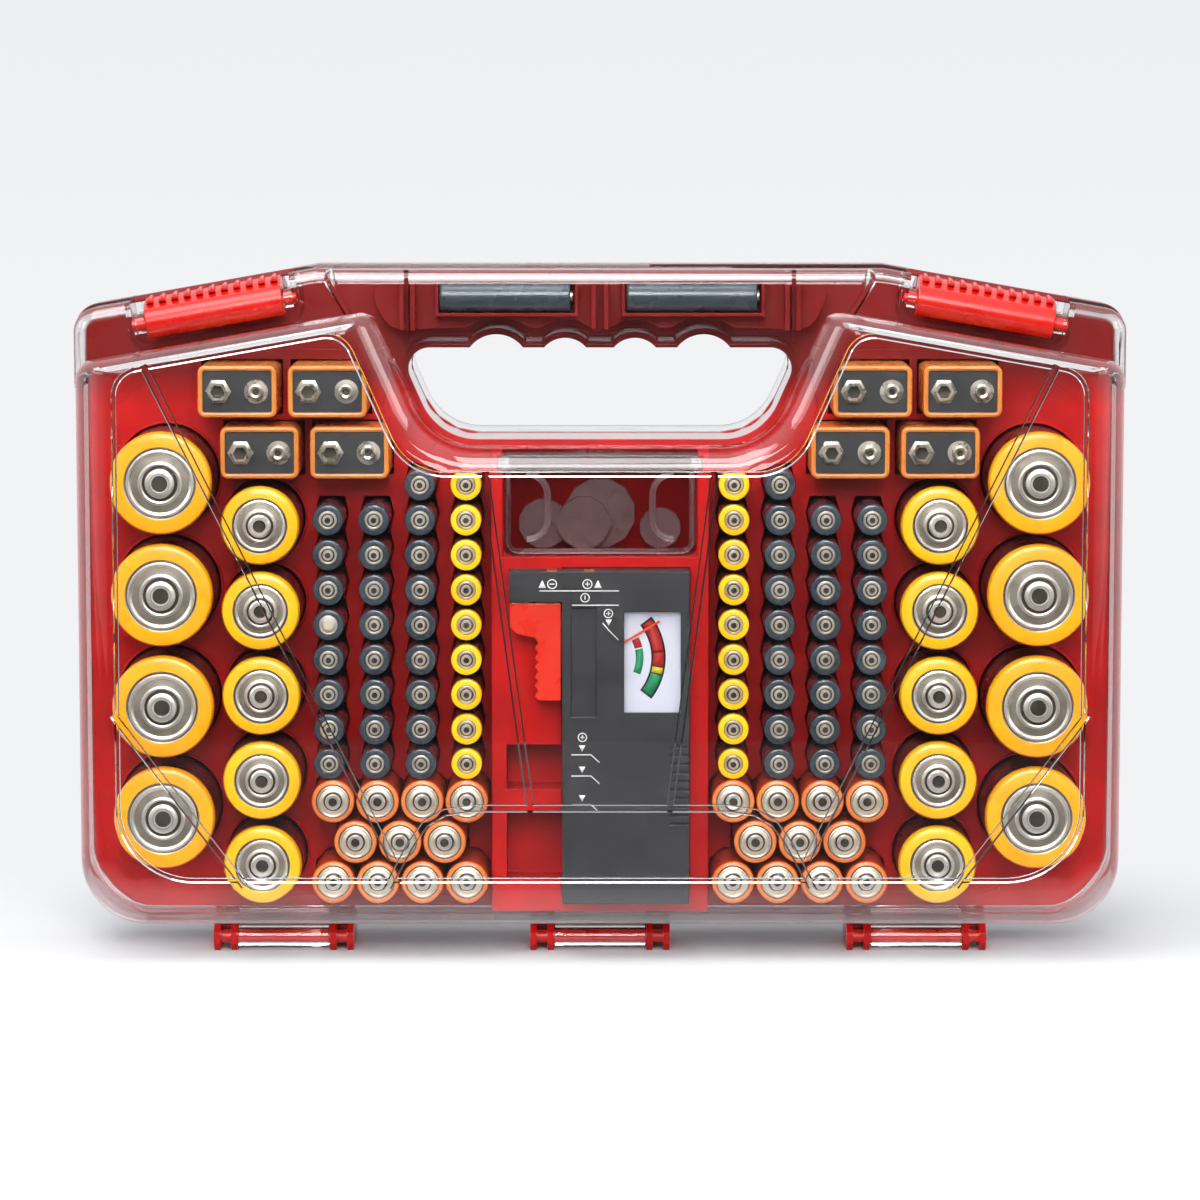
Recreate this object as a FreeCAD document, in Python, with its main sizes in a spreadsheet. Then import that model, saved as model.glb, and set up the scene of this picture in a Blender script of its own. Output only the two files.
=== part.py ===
"""Double-sided battery storage case.

A red moulded tray carries round, column and box pockets for the cells, a
handle, a coin-cell box and a bay for a battery tester. A clear lid closes each
side: both hinge on cores at the foot of the tray and latch on the sloping
shoulders beside the handle.

Frame: millimetres, X across the case, Z up, the front towards -Y. The tray's
rim lies in the plane Y = 0 and the hinge lugs stand on Z = 0.
"""
import FreeCAD, Part
import math
import os
import Sketcher
from FreeCAD import Vector
from types import SimpleNamespace

SIZES = {
    # case outline
    "side_land": 13.7, "rim_bottom": 9.8, "foot_radius": 25.0,
    "shoulder_low": 219.4, "handle_top": 234.0, "shoulder_run": 82.3,
    "shoulder_radius": 9.0, "small_radius": 3.0,
    "rim_half_depth": 2.2, "rim_width": 3.2, "wall": 2.0, "seam": 0.3, "overrun": 5.0,
    # hand opening
    "opening_bottom": 176.7, "opening_top": 207.3, "opening_foot_half": 53.9,
    "opening_top_half": 67.5, "opening_foot_radius": 20.0, "opening_top_radius": 7.0,
    "scallop_outer_place": 34.5, "scallop_inner_place": 11.6, "scallop_outer_radius": 11.1,
    "scallop_inner_radius": 9.3, "scallop_outer_rise": 4.4, "scallop_inner_rise": 3.2,
    # lids
    "front_depth": 40.5, "back_depth": 33.0, "shelf_depth": 22.0, "handle_depth": 30.0,
    "edge_round": 12.0, "edge_draft": 1.6, "side_inset": 14.5, "bottom_inset": 17.7,
    "slope_inset": 5.0, "leg_inset": 12.4, "sill_inset": 9.4, "shelf_inset": 4.0,
    "divider_place": 64.5, "divider_width": 1.5,
    # latches and their recesses
    "latch_from_side": 48.0, "latch_drop": 9.3, "recess_depth": 16.0, "recess_length": 54.0,
    "recess_radius": 4.0, "latch_length": 46.6, "latch_radius": 5.25, "latch_axis_depth": 14.0,
    "latch_top": 8.0, "hook_under": 3.2, "latch_foot": 2.0,
    "hook_gap": 0.5, "latch_pin_radius": 1.5, "latch_boss_radius": 3.2, "running_gap": 0.06,
    "chord_angle": 22.5, "round_sides": 12.0, "small_sides": 8.0, "tiny_sides": 6.0,
    "rib_count": 11.0, "rib_height": 1.0, "rib_width": 2.4, "lobe_radius": 11.0,
    # hinges
    "hinge_from_side": 69.3, "lug_radius": 4.5, "hinge_offset": 9.0, "lug_width": 1.9,
    "outer_lug_place": 22.7, "inner_lug_place": 16.9, "core_radius": 2.0,
    "clip_radius": 4.3, "clip_side_gap": 0.6,
    "lug_neck_half": 2.2,
    # tray plate and pockets
    "plate_front": 3.0, "plate_thickness": 2.2, "cup_wall": 1.5, "floor": 1.5,
    "pocket_gap": 0.5, "cell_seat_gap": 0.3,
    # cells
    "d_radius": 17.1, "d_length": 61.5, "d_gap": 2.7, "d_first": 49.5,
    "d_pitch": 37.6, "d_proud": 33.0, "d_rows": 4.0, "d_nub_radius": 4.75,
    "c_radius": 13.1, "c_length": 50.0, "c_gap": 4.3, "c_first": 33.0,
    "c_pitch": 28.7, "c_proud": 30.0, "c_rows": 5.0, "c_nub_radius": 3.75,
    "aaa_radius": 5.2, "aaa_length": 44.5, "aaa_first": 67.15, "aaa_pitch": 11.77,
    "column_gap": 8.3, "aaa_column_pitch": 15.4, "aaa_proud": 27.5,
    "aaa_long_rows": 9.0, "aaa_short_rows": 8.0, "aaa_nub_radius": 1.9, "neck_half": 4.3,
    "aa_radius": 7.2, "aa_length": 50.5, "aa_column_pitch": 15.0,
    "aa_first": 27.0, "aa_row_pitch": 13.8, "aa_proud": 29.0, "aa_nub_radius": 2.75,
    "aa_back_gap": 0.6, "aa_back_count": 6.0, "cradle_rise": 11.0, "nub_height": 1.5,
    "nine_long": 26.5, "nine_short": 17.5, "nine_height": 46.4, "nine_post_height": 2.1,
    "nine_post_radius": 3.4, "nine_post_pitch": 12.7, "nine_proud": 24.0,
    "nine_upper": 192.4, "nine_lower": 171.9, "nine_upper_shift": 22.6,
    "nine_lower_shift": 29.9, "nine_pitch": 30.1,
    # handle cells
    "grip_front": 13.0, "grip_bottom": 212.4, "grip_top": 229.6, "grip_foot_half": 71.0,
    "grip_top_half": 80.0, "handle_cell_height": 223.8, "handle_cell_place": 31.2,
    "frame_proud": 8.0, "frame_wall": 1.2, "grip_rib_width": 1.6, "grip_rib_inset": 2.1,
    "grip_rib_proud": 8.0, "grip_strip_gap": 1.1,
    # coin box
    "bay_half": 36.5, "bay_front": 22.0, "coin_foot": 134.8, "coin_head": 172.4,
    "coin_wall": 3.7, "coin_lip": 1.6, "coin_lid_thickness": 1.8, "coin_floor": 8.0,
    "coin_pin_radius": 0.9, "coin_pin_drop": 0.9, "coin_pin_length": 1.6,
    "coin_cell_radius": 10.0, "coin_cell_thickness": 3.2,
    "coin_ridge_width": 15.0, "coin_ridge_height": 22.0, "coin_ridge_proud": 1.6,
    # tester
    "tester_left": -30.5, "tester_right": 30.0, "tester_foot": 20.3, "tester_head": 132.6,
    "tester_bar_foot": 122.5, "tester_column": -12.7, "tester_front": 33.0,
    "tester_back_depth": 9.2, "tester_wall": 1.8, "tester_gap": 0.3, "bay_foot": 15.5,
    "well_left": -31.5, "well_low_foot": 26.5, "well_low_head": 49.8,
    "well_high_foot": 57.6, "well_high_head": 72.8, "well_floor": 6.0,
    "window_left": 8.1, "window_right": 27.0, "window_foot": 85.2, "window_head": 119.3,
    "window_thickness": 1.2, "window_proud": 0.6, "dial_thickness": 0.4,
    "needle_pivot_across": -0.6, "needle_pivot_height": 103.4, "needle_length": 24.0,
    "needle_tail": 7.0, "needle_width": 0.7, "needle_thickness": 0.5, "needle_hub": 1.6,
    "needle_shaft": 0.5, "needle_rest_angle": 31.0, "needle_gap": 0.4,
    "movement_left": -8.0, "movement_right": 13.0, "movement_foot": 94.0,
    "movement_head": 113.0, "movement_depth": 10.0,
    "slider_gap": 0.4, "slider_head": 121.7, "slider_step": 111.6, "slider_foot": 89.2,
    "slider_comb": -21.8, "slider_tooth": 1.2, "slider_teeth": 7.0,
    "slider_thickness": 10.0, "tongue_foot": 100.0, "tongue_head": 118.0,
    "tongue_width": 2.8, "tongue_thickness": 1.4, "tongue_front": 28.2, "slot_gap": 0.3,
    "grip_groove_foot": 47.0, "grip_groove_pitch": 2.9, "grip_groove_left": 23.4,
    "grip_groove_width": 0.8, "grip_groove_depth": 0.7, "grip_groove_count": 10.0,
    "slot_mark_left": -9.7, "slot_mark_right": -1.3, "slot_mark_foot": 83.5,
    "slot_mark_head": 120.5, "slot_mark_depth": 0.6,
    "resistor_radius": 1.6, "resistor_length": 12.0, "contact_thickness": 0.4,
}

doc = FreeCAD.newDocument("battery_case")
sheet = doc.addObject("Spreadsheet::Sheet", "sizes")
for row_number, (alias, value) in enumerate(SIZES.items(), start=1):
    sheet.set("A%d" % row_number, alias)
    sheet.set("B%d" % row_number, str(value))
    sheet.setAlias("B%d" % row_number, alias)
doc.recompute()
s = SimpleNamespace(**{alias: float(sheet.get(alias)) for alias in SIZES})

FRONT = -1
BACK = 1
LEFT = -1
RIGHT = 1
SIDES = {"left": LEFT, "right": RIGHT}
ACROSS = Vector(1, 0, 0)
FLATNESS = s.running_gap / 100

# Columns of cells outwards from the centre bay, and what is set from the case's sides
INNER_COLUMN = s.bay_half + s.column_gap
OUTER_COLUMN = INNER_COLUMN + s.aaa_column_pitch * 3
C_COLUMN = OUTER_COLUMN + s.aaa_radius + s.c_gap + s.c_radius
D_COLUMN = C_COLUMN + s.c_radius + s.d_gap + s.d_radius
CASE_HALF = D_COLUMN + s.d_radius + s.side_land
HANDLE_HALF = CASE_HALF - s.shoulder_run
LATCH_PLACE = CASE_HALF - s.latch_from_side
HINGE_PLACES = (s.hinge_from_side - CASE_HALF, 0, CASE_HALF - s.hinge_from_side)


# Plane outlines and the prisms and lofts made from them

def rounded(points, radii, nominal=None):
    """Outline with each corner replaced by chords along its arc, fewer on small corners."""
    made = []
    count = len(points)
    nominal = nominal or radii
    for place in range(count):
        here = Vector(*points[place], 0)
        back = (Vector(*points[place - 1], 0) - here).normalize()
        ahead = (Vector(*points[(place + 1) % count], 0) - here).normalize()
        half_angle = back.getAngle(ahead) / 2
        centre = here + (back + ahead).normalize() * (radii[place] / math.sin(half_angle))
        start = here + back * (radii[place] / math.tan(half_angle)) - centre
        turn = math.pi - half_angle * 2
        if back.cross(ahead).z > 0:
            turn = -turn
        share = 2 if nominal[place] <= s.small_radius * 2 else 1
        chords = max(2, round(abs(math.degrees(turn)) / s.chord_angle / share))
        for step in range(chords + 1):
            angle = turn * step / chords
            x = centre.x + start.x * math.cos(angle) - start.y * math.sin(angle)
            z = centre.y + start.x * math.sin(angle) + start.y * math.cos(angle)
            made.append((x, z))
    return made


def outline(points, radii, depth):
    """Closed wire of (x, z) points with rounded corners in the plane y = depth."""
    corners = rounded(points, radii) if radii else points
    corners = [Vector(x, depth, z) for x, z in corners]
    return Part.makePolygon(corners + corners[:1])


def inset(points, amounts):
    """Outline moved inwards, edge by edge; negative amounts move it outwards."""
    count = len(points)
    lines = []
    for place in range(count):
        x0, z0 = points[place]
        x1, z1 = points[(place + 1) % count]
        length = math.hypot(x1 - x0, z1 - z0)
        step = amounts[place] / length
        shift = (-(z1 - z0) * step, (x1 - x0) * step)
        lines.append((x0 + shift[0], z0 + shift[1], x1 - x0, z1 - z0))
    moved = []
    for place in range(count):
        x0, z0, u0, w0 = lines[place - 1]
        x1, z1, u1, w1 = lines[place]
        share = ((x1 - x0) * w1 - (z1 - z0) * u1) / (u0 * w1 - w0 * u1)
        moved.append((x0 + u0 * share, z0 + w0 * share))
    return moved


def prism(points, radii, near, far):
    """Solid between the planes y = near and y = far."""
    face = Part.Face(outline(points, radii, near))
    return face.extrude(Vector(0, far - near, 0))


def block(x0, x1, y0, y1, z0, z1):
    """Box between two corners."""
    size = Vector(abs(x1 - x0), abs(y1 - y0), abs(z1 - z0))
    corner = Vector(min(x0, x1), min(y0, y1), min(z0, z1))
    return Part.makeBox(size.x, size.y, size.z, corner)


def mirrored(shape):
    """The same shape on the other side of the plane x = 0."""
    return shape.mirror(Vector(0, 0, 0), ACROSS)


def ring_points(radius, x, z, sides):
    """Regular outline with flats to the sides, below and above."""
    step = 2 * math.pi / sides
    return [(x + radius * math.cos(step * (place + 1 / 2)),
             z + radius * math.sin(step * (place + 1 / 2))) for place in range(int(sides))]


def rod(radius, x, z, y0, y1, sides=s.round_sides):
    """Faceted cylinder along Y."""
    return prism(ring_points(radius, x, z, sides), None, y0, y1)


def pin(radius, y, z, x0, x1, sides=s.small_sides):
    """Faceted cylinder along X."""
    corners = [Vector(x0, a, b) for a, b in ring_points(radius, y, z, sides)]
    face = Part.Face(Part.makePolygon(corners + corners[:1]))
    return face.extrude(ACROSS * (x1 - x0))


def bore_radius(radius, sides=s.small_sides):
    """Corner radius of a faceted bore that a pin turns in with the running gap."""
    return (radius + s.running_gap) / math.cos(math.pi / sides)


def doubled(right_half):
    """Outline points of the right half followed by their mirror images."""
    return right_half + [(-x, z) for x, z in reversed(right_half)]


# Outlines of the case

SLOPE = math.atan2(s.handle_top - s.shoulder_low, CASE_HALF - HANDLE_HALF)


def slope_height(x, drop):
    """Height of the shoulder line, lowered square to itself, over the place x."""
    rise = (CASE_HALF - abs(x)) * math.tan(SLOPE)
    return s.shoulder_low + rise - drop / math.cos(SLOPE)


CASE_OUTLINE = doubled([
    (CASE_HALF, s.rim_bottom),
    (CASE_HALF, s.shoulder_low),
    (HANDLE_HALF, s.handle_top)])
CASE_OUTLINE = CASE_OUTLINE[-1:] + CASE_OUTLINE[:-1]
CASE_RADII = [s.foot_radius, s.foot_radius, s.shoulder_radius, s.small_radius,
              s.small_radius, s.shoulder_radius]

LEG_LEAN = (s.opening_top_half - s.opening_foot_half) / (s.opening_top - s.opening_bottom)
OPENING = [(-s.opening_foot_half, s.opening_bottom), (s.opening_foot_half, s.opening_bottom),
           (s.opening_top_half, s.opening_top), (-s.opening_top_half, s.opening_top)]
OPENING_RADII = [s.opening_foot_radius, s.opening_foot_radius,
                 s.opening_top_radius, s.opening_top_radius]


def leg_top():
    """Where the opening's side, drawn on upwards, meets the lid's step line."""
    step = math.tan(SLOPE)
    start = slope_height(s.opening_foot_half, s.recess_depth)
    rise = (start - s.opening_bottom) / (1 + step * LEG_LEAN)
    return s.opening_foot_half + rise * LEG_LEAN, s.opening_bottom + rise


def body_outline():
    """The lid's deep part: foot, sides, step line, legs and the sill of the opening."""
    root = leg_top()
    half = [(CASE_HALF, s.rim_bottom),
            (CASE_HALF, slope_height(CASE_HALF, s.recess_depth)),
            root, (s.opening_foot_half, s.opening_bottom)]
    points = doubled(half)
    return points[-1:] + points[:-1]


BODY_OUTLINE = body_outline()
BODY_INSETS = [s.bottom_inset, s.side_inset, s.slope_inset, s.leg_inset, s.sill_inset,
               s.leg_inset, s.slope_inset, s.side_inset]
BODY_TURNS = [1, 1, 1, 1, -1, -1, 1, 1]
BODY_RADII = [s.foot_radius, s.foot_radius, s.shoulder_radius, s.shoulder_radius,
              s.opening_foot_radius, s.opening_foot_radius, s.shoulder_radius, s.shoulder_radius]


def grown_opening(extra, near, far):
    """The hand opening with its finger scallops, made wider all round by extra."""
    points = inset(OPENING, [-extra] * len(OPENING))
    radii = [radius + extra for radius in OPENING_RADII]
    shape = prism(points, radii, near, far)
    scallops = []
    for side in SIDES.values():
        for place, radius, rise in (
                (s.scallop_outer_place, s.scallop_outer_radius, s.scallop_outer_rise),
                (s.scallop_inner_place, s.scallop_inner_radius, s.scallop_inner_rise)):
            height = s.opening_top + rise - radius
            scallops.append(rod(radius + extra, side * place, height, near, far))
    return shape.fuse(scallops)


# Lids

def rounded_levels(depth, rounding, knee_share, way, skin):
    """(y, share of the full inset) from the rim plane over a rounded edge to the face."""
    rim = s.rim_half_depth + s.seam - (s.overrun if skin else 0)
    levels = [(way * rim, 0)]
    angles = (0, math.pi / 4, math.pi / 2) if rounding > s.shelf_inset else (0, math.pi / 2)
    for angle in angles:
        y = depth - skin - rounding * (1 - math.sin(angle))
        levels.append((way * y, knee_share + (1 - knee_share) * (1 - math.cos(angle))))
    return levels


def spanned(corners):
    """Flat face through four corners, or the two triangles where they aren't in a plane."""
    a, b, c, d = corners
    normal = (b - a).cross(c - a)
    if normal.Length and abs((d - a).dot(normal)) / normal.Length < FLATNESS:
        return [Part.Face(Part.makePolygon([a, b, c, d, a]))]
    return [Part.Face(Part.makePolygon([a, b, c, a])), Part.Face(Part.makePolygon([a, c, d, a]))]


def lofted(points, radii, turns, insets, levels, skin):
    """Solid through one outline, drawn in at each level; turns is 1 at an outward corner."""
    sections = []
    for y, share in levels:
        amounts = [amount * share + skin for amount in insets]
        level_radii = []
        for place, radius in enumerate(radii):
            draw = (amounts[place] + amounts[place - 1]) / 2
            level_radii.append(max(radius - turns[place] * draw, s.small_radius / 2))
        section = rounded(inset(points, amounts), level_radii, radii)
        sections.append([Vector(x, y, z) for x, z in section])
    faces = [Part.Face(Part.makePolygon(section + section[:1]))
             for section in (sections[0], sections[-1])]
    for low, high in zip(sections, sections[1:]):
        for place in range(len(low)):
            faces += spanned([low[place - 1], low[place], high[place], high[place - 1]])
    shell = Part.Shell(faces)
    solid = Part.Solid(shell)
    if solid.Volume < 0:
        solid = Part.Solid(shell.reversed())
    return solid


SHELF_OUTLINE = doubled([
    (CASE_HALF, slope_height(CASE_HALF, s.recess_depth + s.edge_round)),
    (CASE_HALF, s.shoulder_low),
    (HANDLE_HALF, s.handle_top)])
SHELF_OUTLINE = SHELF_OUTLINE[-1:] + SHELF_OUTLINE[:-1]
SHELF_INSETS = [0, s.shelf_inset, s.shelf_inset, s.shelf_inset, s.shelf_inset, s.shelf_inset]
SHELF_RADII = [s.small_radius, s.small_radius, s.shoulder_radius, s.small_radius,
               s.small_radius, s.shoulder_radius]

HANDLE_OUTLINE = [(-s.opening_foot_half, s.opening_bottom - s.sill_inset),
                  (s.opening_foot_half, s.opening_bottom - s.sill_inset),
                  (HANDLE_HALF, s.handle_top), (-HANDLE_HALF, s.handle_top)]
HANDLE_INSETS = [0, 0, s.shelf_inset, 0]
HANDLE_RADII = [s.small_radius] * len(HANDLE_OUTLINE)


def to_shoulder(shape, side):
    """Carry a shape from the latch's own frame, x up the slope, to a shoulder."""
    placed = shape.copy()
    placed.rotate(Vector(0, 0, 0), Vector(0, 1, 0), -math.degrees(SLOPE))
    placed.translate(Vector(-LATCH_PLACE, 0, slope_height(LATCH_PLACE, s.latch_drop)))
    return placed if side == LEFT else mirrored(placed)


def recess_form(skin, near, far):
    """The hollow that a latch lies in, in the latch's own frame."""
    half = s.recess_length / 2 + skin
    low = -(s.recess_depth - s.latch_drop) - skin
    high = s.latch_drop + s.edge_round
    radii = [s.recess_radius + skin, s.recess_radius + skin, s.small_radius, s.small_radius]
    return prism([(-half, low), (half, low), (half, high), (-half, high)], radii, near, far)


def lid_form(depth, way, skin):
    """Outer form of a lid, or with a skin the form of the hollow inside it."""
    knee_share = s.edge_draft / s.side_inset
    deep = rounded_levels(depth, s.edge_round, knee_share, way, skin)
    body = lofted(BODY_OUTLINE, BODY_RADII, BODY_TURNS, BODY_INSETS, deep, skin)
    low = rounded_levels(s.shelf_depth, s.shelf_inset, 0, way, skin)
    shelf = lofted(SHELF_OUTLINE, SHELF_RADII, [1] * 6, SHELF_INSETS, low, skin)
    grip = rounded_levels(s.handle_depth, s.shelf_inset, 0, way, skin)
    handle = lofted(HANDLE_OUTLINE, HANDLE_RADII, [1] * 4, HANDLE_INSETS, grip, skin)
    ends = -way * s.overrun, way * (depth + s.overrun)
    upper = shelf.fuse(handle).cut(grown_opening(skin, *ends))
    form = upper.fuse(body)
    for side in SIDES.values():
        form = form.cut(to_shoulder(recess_form(skin, *ends), side))
    return form


def latch_bosses(way):
    """Pierced bosses at both ends of a recess, in the latch's own frame."""
    solids, bores = [], []
    y = way * s.latch_axis_depth
    outer = s.recess_length / 2 + s.wall / 2
    inner = s.latch_length / 2 + s.hook_gap
    for end in (-1, 1):
        solids.append(pin(s.latch_boss_radius, y, 0, end * inner, end * outer))
        bores.append(pin(bore_radius(s.latch_pin_radius), y, 0,
                         end * s.latch_length / 2, end * (outer + s.overrun)))
    return solids, bores


def hinge_clips(way):
    """Open clips under a lid that snap on the hinge cores."""
    y = way * s.hinge_offset
    half = s.inner_lug_place - s.lug_width / 2 - s.clip_side_gap
    solids, cuts = [], []
    for place in HINGE_PLACES:
        left, right = place - half, place + half
        solids.append(pin(s.clip_radius, y, s.lug_radius, left, right))
        solids.append(block(left, right, y - s.lug_neck_half, y + s.lug_neck_half,
                            s.lug_radius, s.rim_bottom + s.wall))
        cuts.append(pin(bore_radius(s.core_radius), y, s.lug_radius,
                        left - s.overrun, right + s.overrun))
        mouth = Part.makePolygon([
            Vector(left - s.overrun, y, s.lug_radius),
            Vector(left - s.overrun, y - way * s.clip_radius * 2, s.lug_radius),
            Vector(left - s.overrun, y - way * s.clip_radius, s.lug_radius - s.clip_radius * 2),
            Vector(left - s.overrun, y, s.lug_radius)])
        cuts.append(Part.Face(mouth).extrude(ACROSS * (2 * (half + s.overrun))))
    return solids, cuts


def lid(depth, way):
    """A clear lid: shell, latch bosses, dividers in the handle and hinge clips."""
    form = lid_form(depth, way, 0)
    shell = form.cut(lid_form(depth, way, s.wall))
    added, cuts = hinge_clips(way)
    boss_solids, boss_bores = latch_bosses(way)
    for side in SIDES.values():
        added += [to_shoulder(solid, side) for solid in boss_solids]
        cuts += [to_shoulder(bore, side) for bore in boss_bores]
        divider = block(side * s.divider_place - s.divider_width / 2,
                        side * s.divider_place + s.divider_width / 2,
                        way * (s.grip_front + s.seam), way * s.handle_depth,
                        s.opening_top + s.wall / 2, s.handle_top)
        added.append(divider.common(form))
    return shell.fuse(added).cut(cuts).removeSplitter()


# Latches

def latch(way, side):
    """A latch: half-round bar on two pins, with a thumb plate that lies over the rim."""
    y = way * s.latch_axis_depth
    reach = s.latch_axis_depth - s.hook_gap
    half = s.latch_length / 2
    section = [(s.latch_foot, -s.latch_foot), (s.latch_foot, s.hook_under),
               (reach, s.hook_under), (reach, s.latch_top),
               (reach - s.latch_foot * 2, s.latch_top), (0, s.latch_radius)]
    steps = int(180 / s.chord_angle)
    for step in range(1, steps + 1):
        angle = math.radians(90 + s.chord_angle * step)
        section.append((s.latch_radius * math.cos(angle), s.latch_radius * math.sin(angle)))
    corners = [Vector(-half, y - way * depth, z) for depth, z in section]
    bar = Part.Face(Part.makePolygon(corners + corners[:1])).extrude(ACROSS * s.latch_length)
    ends = s.recess_length / 2 + s.wall / 2
    added = [pin(s.latch_pin_radius, y, 0, -ends, ends)]
    if way == FRONT:
        added += thumb_ribs(way)
    else:
        added += thumb_lobes(way)
    return to_shoulder(bar.fuse(added).removeSplitter(), side)


def thumb_ribs(way):
    """Ribs across the thumb plate."""
    y = way * s.latch_axis_depth
    reach = s.latch_axis_depth - s.hook_gap
    count = int(s.rib_count)
    pitch = s.latch_length / count
    ribs = []
    for place in range(count):
        middle = -s.latch_length / 2 + pitch * (place + 1 / 2)
        base = s.latch_top - s.rib_height
        section = [(middle - s.rib_width / 2, base), (middle + s.rib_width / 2, base),
                   (middle, s.latch_top + s.rib_height)]
        ribs.append(prism(section, None, y - way * s.latch_foot * 2, y - way * reach))
    return ribs


def thumb_lobes(way):
    """Two smooth lobes that rise from the thumb plate."""
    y = way * s.latch_axis_depth
    reach = s.latch_axis_depth - s.hook_gap
    lobes = []
    for end in (-1, 1):
        middle = end * s.latch_length / 4
        height = s.latch_top + s.rib_height - s.lobe_radius
        lobe = rod(s.lobe_radius, middle, height, y - way * s.latch_foot * 3,
                   y - way * reach, s.round_sides * 2)
        under = block(middle - s.lobe_radius, middle + s.lobe_radius, 0, y,
                      height - s.lobe_radius, s.hook_under)
        lobes.append(lobe.cut(under))
    return lobes


# Places of the cells, as (x, z)

def rows(first, pitch, count):
    return [first + pitch * place for place in range(int(count))]


def column_spots(column, first, pitch, count):
    return [(side * column, z) for side in SIDES.values() for z in rows(first, pitch, count)]


def on_side(spots, side):
    return [spot for spot in spots if spot[0] * side > 0]


D_SPOTS = column_spots(D_COLUMN, s.d_first, s.d_pitch, s.d_rows)
C_SPOTS = column_spots(C_COLUMN, s.c_first, s.c_pitch, s.c_rows)
AAA_COLUMNS = [(INNER_COLUMN, s.aaa_long_rows),
               (INNER_COLUMN + s.aaa_column_pitch, s.aaa_long_rows),
               (OUTER_COLUMN - s.aaa_column_pitch, s.aaa_short_rows),
               (OUTER_COLUMN, s.aaa_short_rows)]
AAA_SPOTS = [column_spots(column, s.aaa_first, s.aaa_pitch, count)
             for column, count in AAA_COLUMNS]


def aa_spots(side):
    """Three staggered rows of four, three and four cells."""
    spots = []
    for row, (shift, count) in enumerate(((0, 4), (1 / 2, 3), (0, 4))):
        for place in range(count):
            x = INNER_COLUMN + s.aa_column_pitch * (place + shift)
            spots.append((side * x, s.aa_first + s.aa_row_pitch * row))
    return spots


AA_SPOTS = aa_spots(LEFT) + aa_spots(RIGHT)
NINE_SPOTS = [(side * (inner + s.nine_pitch * place), z)
              for side in SIDES.values()
              for inner, z in ((C_COLUMN - s.nine_upper_shift, s.nine_upper),
                               (C_COLUMN - s.nine_lower_shift, s.nine_lower))
              for place in range(2)]


def seat(length, proud):
    """y of a cell's tail when its cap stands proud of the tray's face."""
    return length - proud - s.plate_front


D_SEAT = seat(s.d_length, s.d_proud)
C_SEAT = seat(s.c_length, s.c_proud)
AAA_SEAT = seat(s.aaa_length, s.aaa_proud)
AA_SEAT = seat(s.aa_length, s.aa_proud)
NINE_SEAT = seat(s.nine_height, s.nine_proud)
CUP_START = s.plate_thickness - s.plate_front
HOLE_START = -s.plate_front - s.overrun
AAA_BACK = AAA_SEAT + s.cell_seat_gap + s.floor
AA_BACK_AXIS = AAA_BACK + s.cell_seat_gap + s.aa_radius
AA_BACK_MIDDLE = INNER_COLUMN + s.aaa_column_pitch * (3 / 2)
AA_BACK_FIRST = (s.aa_first + s.aa_row_pitch * 2 + s.aa_radius * 2 + s.cup_wall * 3
                 + s.pocket_gap)
AA_BACK_PITCH = s.aa_radius * 2 + s.pocket_gap


# Tray

def round_cups(spots, radius, tail, sides):
    """One column of cups behind the plate and the round pockets cut in them."""
    floor = tail + s.cell_seat_gap
    inner = (radius + s.pocket_gap) / math.cos(math.pi / sides)
    outer = (inner + s.cup_wall) / math.cos(math.pi / s.small_sides)
    cups = [rod(outer, x, z, CUP_START, floor + s.floor, s.small_sides) for x, z in spots]
    pockets = [rod(inner, x, z, HOLE_START, floor, sides) for x, z in spots]
    return cups[0].fuse(cups[1:]), pockets


def scalloped_column(x, heights):
    """Pocket for one column of small cells: wide at each cell, with a neck between."""
    wide = s.aaa_radius + s.pocket_gap
    side = []
    for place, z in enumerate(heights):
        side.append((wide, z))
        if place < len(heights) - 1:
            side.append((s.neck_half, z + s.aaa_pitch / 2))
    ends = [(s.neck_half, heights[0] - wide)] + side + [(s.neck_half, heights[-1] + wide)]
    points = [(x + half, z) for half, z in ends]
    points += [(x - half, z) for half, z in reversed(ends)]
    return prism(points, None, HOLE_START, AAA_SEAT + s.cell_seat_gap)


def small_cell_field(side):
    """Block with the scalloped columns in front and a cradle for flat cells behind."""
    pockets = []
    for column, count in AAA_COLUMNS:
        pockets.append(scalloped_column(side * column, rows(s.aaa_first, s.aaa_pitch, count)))
    edge = s.aaa_radius + s.pocket_gap + s.cup_wall
    inner = INNER_COLUMN - edge
    outer = OUTER_COLUMN + edge
    foot = s.aaa_first - edge
    head = s.aaa_first + s.aaa_pitch * (s.aaa_long_rows - 1) + edge
    step = INNER_COLUMN + s.aaa_column_pitch * (3 / 2)
    short_head = s.aaa_first + s.aaa_pitch * (s.aaa_short_rows - 1) + edge
    points = [(side * x, z) for x, z in ((inner, foot), (outer, foot), (outer, short_head),
                                         (step, short_head), (step, head), (inner, head))]
    base = prism(points, None, CUP_START, AAA_BACK)
    half = s.aa_length / 2 + s.aa_back_gap
    low = AA_BACK_FIRST - s.aa_radius - s.cell_seat_gap
    high = low + AA_BACK_PITCH * s.aa_back_count + s.cell_seat_gap
    middle = side * AA_BACK_MIDDLE
    wall = s.cup_wall
    ring = block(middle - half - wall, middle + half + wall, AAA_BACK - s.floor,
                 AAA_BACK + s.cradle_rise, low - wall, high + wall)
    hollow = block(middle - half, middle + half, AAA_BACK, AAA_BACK + s.cradle_rise + s.overrun,
                   low, high)
    return base.fuse(ring.cut(hollow)), pockets


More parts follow.
